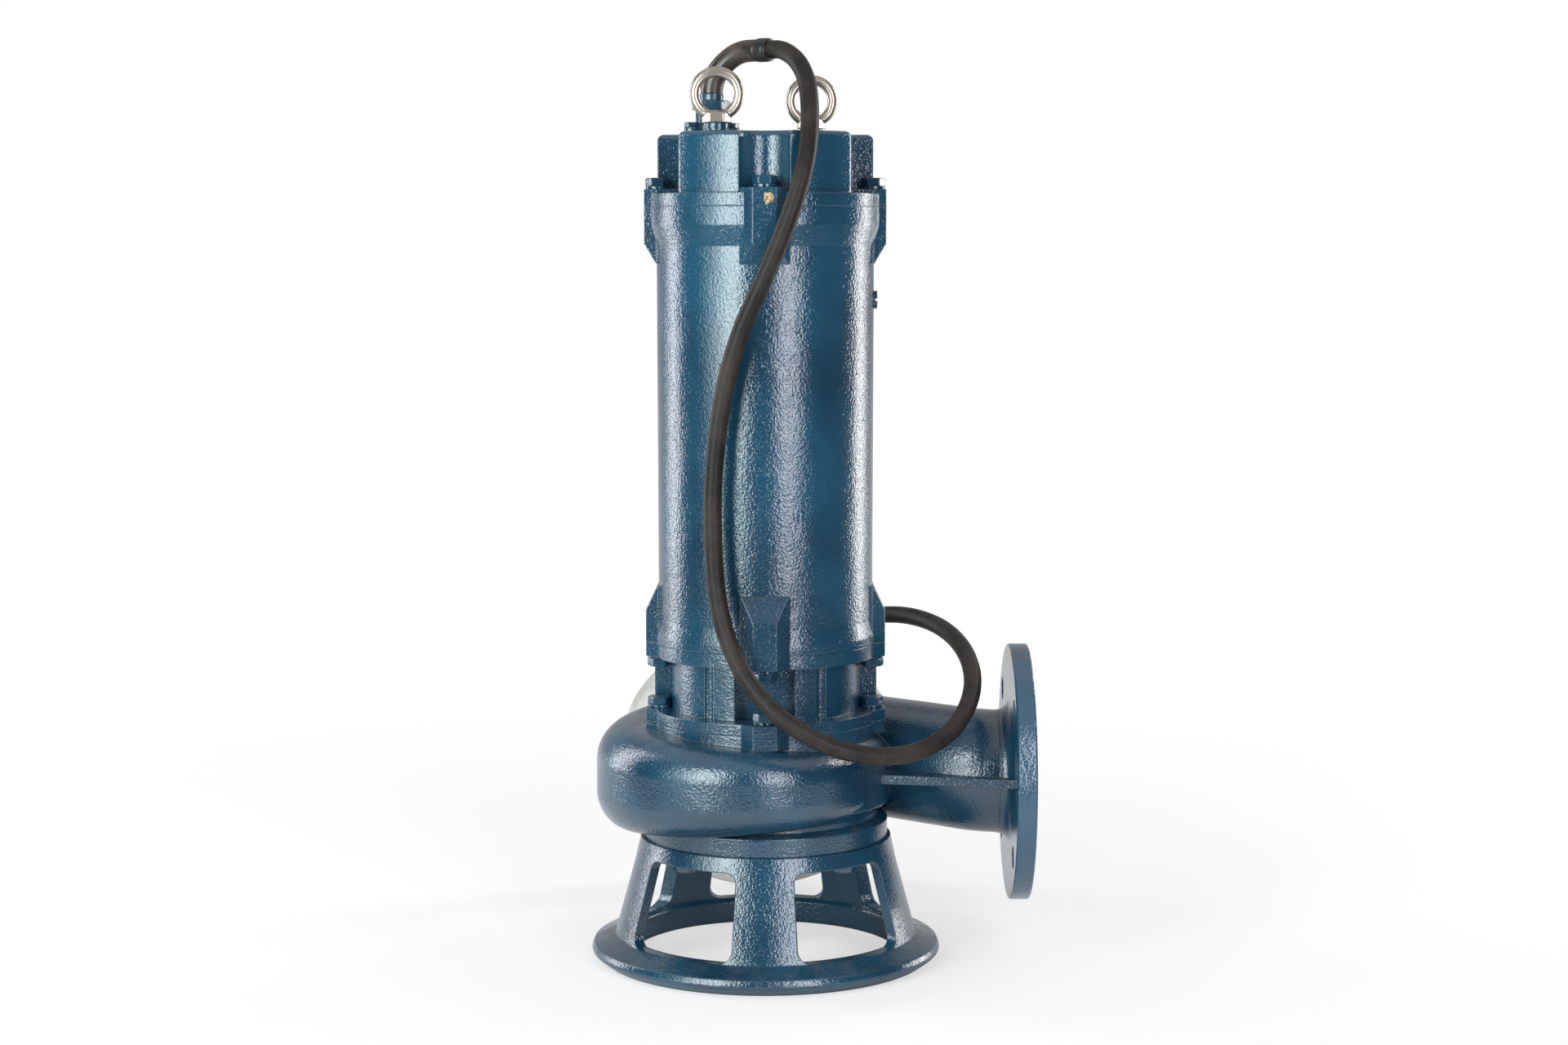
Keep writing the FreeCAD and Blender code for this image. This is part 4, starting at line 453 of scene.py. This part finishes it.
def enamel(name, cast, chip=None):
    """Glossy blue enamel; cast is how much of the casting's skin shows, chip a bare place."""
    f = Finish(name)
    place = f.place()
    broad = f.noise(9.0, 3.0)
    tone = f.blend(broad.between(0.35, 0.65), DEEP_BLUE, MID_BLUE)
    normal_z = f.node(
        "ShaderNodeSeparateXYZ", None,
        {"Vector": f.node("ShaderNodeNewGeometry", output="Normal")}, output="Z",
    )
    dust = normal_z.between(0.75, 1.0) * f.noise(60.0, 4.0, 0.7).between(0.42, 0.72) * 0.32
    tone = f.blend(dust, tone, CAST_DUST)
    skin = f.noise(600.0, 2.0, 0.5, place)
    pebble = f.noise(270.0, 2.0, 0.5, place)
    sag = f.noise(38.0, 1.0, 0.4, place)
    pits = f.node(
        "ShaderNodeTexVoronoi", None, {"Vector": place, "Scale": 190.0}, output="Distance"
    )
    pimple = (1.0 - pits.between(0.05, 0.24)) * f.noise(50.0).between(0.5, 0.62)
    height = skin * 1.2 + pebble * 0.7 + sag * 1.6 + pimple * 0.45
    soft = f.node("ShaderNodeBevel", {"samples": 6}, {"Radius": EDGE_ROUND})
    normal = f.bump(height, SKIN_DEPTH * cast, 0.9, soft)
    roughness = f.noise(24.0, 4.0).between(0.3, 0.8) * 0.05 + dust * 0.9 + ENAMEL_GLOSS
    if chip:
        away = f.node(
            "ShaderNodeVectorMath", {"operation": "DISTANCE"}, [place, chip], output="Value",
        )
        ragged = away + f.noise(160.0, 4.0, 0.7) * CHIP_RAGGED
        bare = 1.0 - ragged.between(*CHIP_EDGE)
        rust = f.blend(f.noise(420.0).between(0.4, 0.6), CHIP_RUST, CHIP_PRIMER)
        tone = f.blend(bare, tone, rust)
        roughness = roughness + bare * 0.2
    return f.done(
        Base_Color=tone, Roughness=roughness, Normal=normal, Specular_IOR_Level=1.0,
    )


def polished_stainless():
    """The lifting eyes."""
    f = Finish("polished stainless")
    haze = f.noise(70.0, 4.0, 0.6)
    tone = f.blend(haze.between(0.35, 0.7), (0.50, 0.455, 0.39, 1.0), (0.38, 0.34, 0.285, 1.0))
    soft = f.node("ShaderNodeBevel", {"samples": 16}, {"Radius": 2.2 * MM})
    return f.done(
        Base_Color=tone, Metallic=0.9, Roughness=haze.between(0.3, 0.9) * 0.08 + 0.28,
        Normal=f.bump(f.noise(400.0, 2.0), 0.02 * MM, 0.3, soft),
    )


def dusty_rubber():
    """Black rubber jacket, handled and dusty."""
    f = Finish("dusty black rubber")
    broad = f.noise(26.0, 5.0, 0.65)
    speck = f.noise(520.0, 3.0, 0.7)
    tone = f.blend(broad.between(0.35, 0.7), (0.012, 0.010, 0.009, 1.0), (0.035, 0.028, 0.022, 1.0))
    marks = speck.between(0.66, 0.74) * f.noise(34.0, 2.0).between(0.45, 0.7)
    tone = f.blend(marks * 0.6, tone, (0.16, 0.13, 0.10, 1.0))
    return f.done(
        Base_Color=tone, Roughness=broad.between(0.3, 0.8) * 0.14 + 0.44 + marks * 0.2,
        Normal=f.bump(speck + f.noise(90.0, 2.0) * 1.6, 0.06 * MM, 0.55), Specular_IOR_Level=0.24,
    )


def shrunk_sleeve():
    """The smooth tube shrunk over the start of the cable."""
    f = Finish("glossy black sleeve")
    broad = f.noise(45.0, 4.0, 0.6)
    # the lighter, browner tone is partly the sleeve's own brown-black and partly a painted warm
    # highlight, spread in broad random patches
    tone = f.blend(broad.between(0.4, 0.75), (0.016, 0.013, 0.011, 1.0), (0.075, 0.055, 0.040, 1.0))
    return f.done(
        Base_Color=tone, Roughness=broad.between(0.3, 0.8) * 0.14 + 0.24,
        Normal=f.bump(f.noise(90.0, 2.0), 0.08 * MM, 0.4), Specular_IOR_Level=0.7,
    )


def band_tape():
    """Tape round the sleeve's end."""
    f = Finish("black tape")
    broad = f.noise(60.0, 3.0)
    tone = f.blend(broad.between(0.4, 0.7), (0.010, 0.010, 0.011, 1.0), (0.026, 0.024, 0.024, 1.0))
    return f.done(
        Base_Color=tone, Roughness=broad * 0.2 + 0.24,
        Normal=f.bump(f.noise(220.0, 3.0), 0.10 * MM, 0.5),
    )


def wrapping_film():
    """Thin cloudy film: clearer where it lies on the cable, white where it folds."""
    f = Finish("cloudy wrapping film")
    wrap = f.node("ShaderNodeAttribute", {"attribute_name": "wrap"}, output="Fac")
    crease = f.noise(120.0, 4.0, 0.65)
    edge = (1.0 - wrap.between(0.0, 0.09)) + wrap.between(0.94, 1.0) * 0.6
    cloud = f.noise(30.0, 3.0).between(0.35, 0.7)
    tone = f.blend(cloud, (0.58, 0.56, 0.53, 1.0), (0.76, 0.74, 0.71, 1.0))
    tone = f.blend(edge * 0.8, tone, (0.84, 0.82, 0.80, 1.0))
    return f.done(
        Base_Color=tone, Roughness=crease.between(0.3, 0.8) * 0.18 + 0.20,
        Alpha=cloud * 0.12 + edge * 0.12 + 0.76,
        Normal=f.bump(crease + f.noise(300.0, 2.0) * 0.4 + wrap * 1.5, 0.35 * MM, 0.7),
        Specular_IOR_Level=0.6,
    )


def inner_finish(name, dark, light, roughness, grain, metallic, depth):
    """A plain material inside the pump, in two tones with a fine grain."""
    f = Finish(name)
    spots = f.noise(grain, 4.0, 0.6)
    tone = f.blend(spots.between(0.3, 0.7), (*dark, 1.0), (*light, 1.0))
    return f.done(
        Base_Color=tone, Metallic=metallic, Roughness=spots * 0.2 + roughness,
        Normal=f.bump(spots, depth * MM, 0.6),
    )


# Slot in the record, name, dark and light tone, roughness, grain, metallic, grain depth in mm
INNER_FINISHES = [
    ("shaft_steel", "ground steel",
     (0.40, 0.40, 0.41), (0.58, 0.58, 0.59), 0.22, 300.0, 1.0, 0.05),
    ("bearing_steel", "bearing steel",
     (0.52, 0.52, 0.54), (0.66, 0.66, 0.68), 0.12, 200.0, 1.0, 0.05),
    ("cast_iron", "bare cast iron",
     (0.10, 0.10, 0.105), (0.20, 0.195, 0.19), 0.42, 260.0, 0.8, 0.3),
    ("core_steel", "core steel",
     (0.22, 0.22, 0.24), (0.34, 0.34, 0.36), 0.35, 400.0, 1.0, 0.05),
    ("rotor_aluminium", "cast aluminium",
     (0.55, 0.56, 0.58), (0.72, 0.73, 0.75), 0.35, 250.0, 1.0, 0.05),
    ("winding_copper", "varnished copper",
     (0.34, 0.12, 0.04), (0.55, 0.24, 0.10), 0.3, 500.0, 0.9, 0.05),
    ("seal_carbon", "lapped carbon",
     (0.03, 0.03, 0.032), (0.06, 0.06, 0.065), 0.2, 300.0, 0.0, 0.05),
    ("board_plastic", "phenolic board",
     (0.13, 0.06, 0.03), (0.2, 0.09, 0.05), 0.4, 200.0, 0.0, 0.05),
]


def dress(material, names):
    """Give this material to each of these nodes of the CAD model."""
    for name in names:
        item = frame["nodes"][name]
        for k in range(max(1, len(item.material_slots))):
            if k < len(item.material_slots):
                item.material_slots[k].material = material
            else:
                item.data.materials.append(material)


def node_names(slot_name):
    """The nodes that the record puts in a material slot."""
    return [p["node"] for p in frame["record"]["subparts"] if p["material_slot"] == slot_name]


dress(enamel("casing enamel", 1.0), node_names("casing_enamel"))
dress(enamel("cover enamel", 1.0, CHIP_PLACE), ["top_cover"])
dress(enamel("bolt enamel", 0.3), node_names("bolt_enamel"))
dress(enamel("washer enamel", 0.3), node_names("washer_enamel"))
dress(polished_stainless(), node_names("polished_stainless"))
rubber = dusty_rubber()
dress(rubber, node_names("black_rubber"))
for slot_name, *looks in INNER_FINISHES:
    dress(inner_finish(*looks), node_names(slot_name))

cable.data.materials.append(rubber)
sleeve.data.materials.append(shrunk_sleeve())
band.data.materials.append(band_tape())
film.data.materials.append(wrapping_film())

for piece, slot_name, replaced in (
    (cable, "black_rubber", ["supply_cable"]),
    (sleeve, "black_rubber", ["cable_sleeve"]),
    (band, "band_tape", ["cable_band"]),
    (film, "wrapped_coil", ["cable_coil"]),
):
    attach(piece, "casing")
    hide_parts(*replaced)


# Floor, world and lamps

FLOOR_HALF = 9.0
FLOOR_PALE = 0.9
# Distances over which the floor changes: into the backdrop, to plain white, to the dark front
BACKDROP = (0.1, 1.0)
WHITE_OUT = (0.3, 1.3)
DARK_FRONT = (0.45, 1.2)
NEAR_WHITE = 0.58
ROOM_LEVEL = 0.06
BACK_LEVEL = 0.44
CEILING_LEVEL = 0.7
LAMP_HEIGHT = 0.85

# Name, bearing from -Y towards +X, distance, width and height of its face, watts, tint
LAMPS = [
    ("left softbox", -41.0, 2.0, 1.5, 1.7, 22.0, (0.86, 1.0, 0.99)),
    ("left softbox core", -34.0, 1.95, 0.7, 1.6, 21.0, (0.88, 1.0, 0.98)),
    ("right softbox", 24.0, 2.0, 0.62, 1.7, 23.0, (0.95, 0.93, 1.0)),
    ("left rear strip", -113.0, 1.8, 0.4, 1.7, 16.0, (0.98, 0.97, 1.0)),
    ("right rear strip", 120.0, 1.8, 0.42, 1.7, 20.0, (1.0, 0.98, 0.96)),
]


def make_floor():
    """A white floor that keeps the pump's shadow and, behind the pump, runs into the backdrop."""
    mesh = bmesh.new()
    bmesh.ops.create_grid(mesh, x_segments=1, y_segments=1, size=FLOOR_HALF)
    floor = finished("floor", mesh, smooth=False)
    f = Finish("pale floor")
    place = f.place()
    seen = f.node("ShaderNodeLightPath", output="Is Camera Ray")
    mirrored = f.node("ShaderNodeLightPath", output="Is Glossy Ray")
    mirrored = mirrored + f.node("ShaderNodeLightPath", output="Is Transmission Ray")
    far = f.node("ShaderNodeVectorMath", {"operation": "LENGTH"}, [place], output="Value")
    depth = f.node("ShaderNodeSeparateXYZ", None, [place], output="Y")
    backdrop = depth.between(*BACKDROP)
    white = far.between(*WHITE_OUT) * (1.0 - NEAR_WHITE) + NEAR_WHITE
    share = seen * white + mirrored * backdrop * 0.5
    # the gloss shows a dark studio in front of the pump, so the floor fades out there in it
    lit = (1.0 - far.between(*DARK_FRONT)).maths("MAXIMUM", backdrop)
    pale = FLOOR_PALE - mirrored * (1.0 - lit) * 0.8
    paint = f.node("ShaderNodeBsdfDiffuse", None, {
        "Color": f.node("ShaderNodeCombineXYZ", None, [pale, pale, pale]),
    })
    glow = f.node("ShaderNodeEmission", None, {"Color": (1.0, 1.0, 1.0, 1.0), "Strength": 1.0})
    mixed = f.node("ShaderNodeMixShader", None, [share, paint, glow])
    f.node("ShaderNodeOutputMaterial", None, {"Surface": mixed})
    floor.data.materials.append(f.material)


def make_world():
    """White behind the pump, a pale ceiling, and a dark room on the camera's side for the gloss."""
    world = bpy.data.worlds.new("studio")
    bpy.context.scene.world = world
    f = Finish("studio", world)
    way = f.node("ShaderNodeTexCoord", output="Generated")
    behind = f.node("ShaderNodeSeparateXYZ", None, [way], output="Y")
    above = f.node("ShaderNodeSeparateXYZ", None, [way], output="Z")
    room = behind.between(0.35, 0.85) * BACK_LEVEL + ROOM_LEVEL
    room = room.maths("MAXIMUM", above.between(0.45, 0.85) * CEILING_LEVEL)
    seen = f.node("ShaderNodeLightPath", output="Is Camera Ray")
    white = f.node("ShaderNodeBackground", None, {
        "Color": (1.0, 1.0, 1.0, 1.0), "Strength": room.maths("MAXIMUM", seen),
    })
    f.node("ShaderNodeOutputWorld", None, {"Surface": white})


def softbox(name, bearing, distance, width, tall, power, tint):
    """A rectangular lamp beside the pump, turned to its axis."""
    data = bpy.data.lights.new(name, "AREA")
    data.shape = "RECTANGLE"
    data.size = width
    data.size_y = tall
    data.energy = power
    data.color = tint
    item = bpy.data.objects.new(name, data)
    angle = math.radians(bearing)
    item.location = (distance * math.sin(angle), -distance * math.cos(angle), LAMP_HEIGHT)
    aim = Vector((0.0, 0.0, LAMP_HEIGHT)) - Vector(item.location)
    item.rotation_euler = aim.to_track_quat("-Z", "Y").to_euler()
    bpy.context.scene.collection.objects.link(item)


make_floor()
make_world()
for lamp in LAMPS:
    softbox(*lamp)
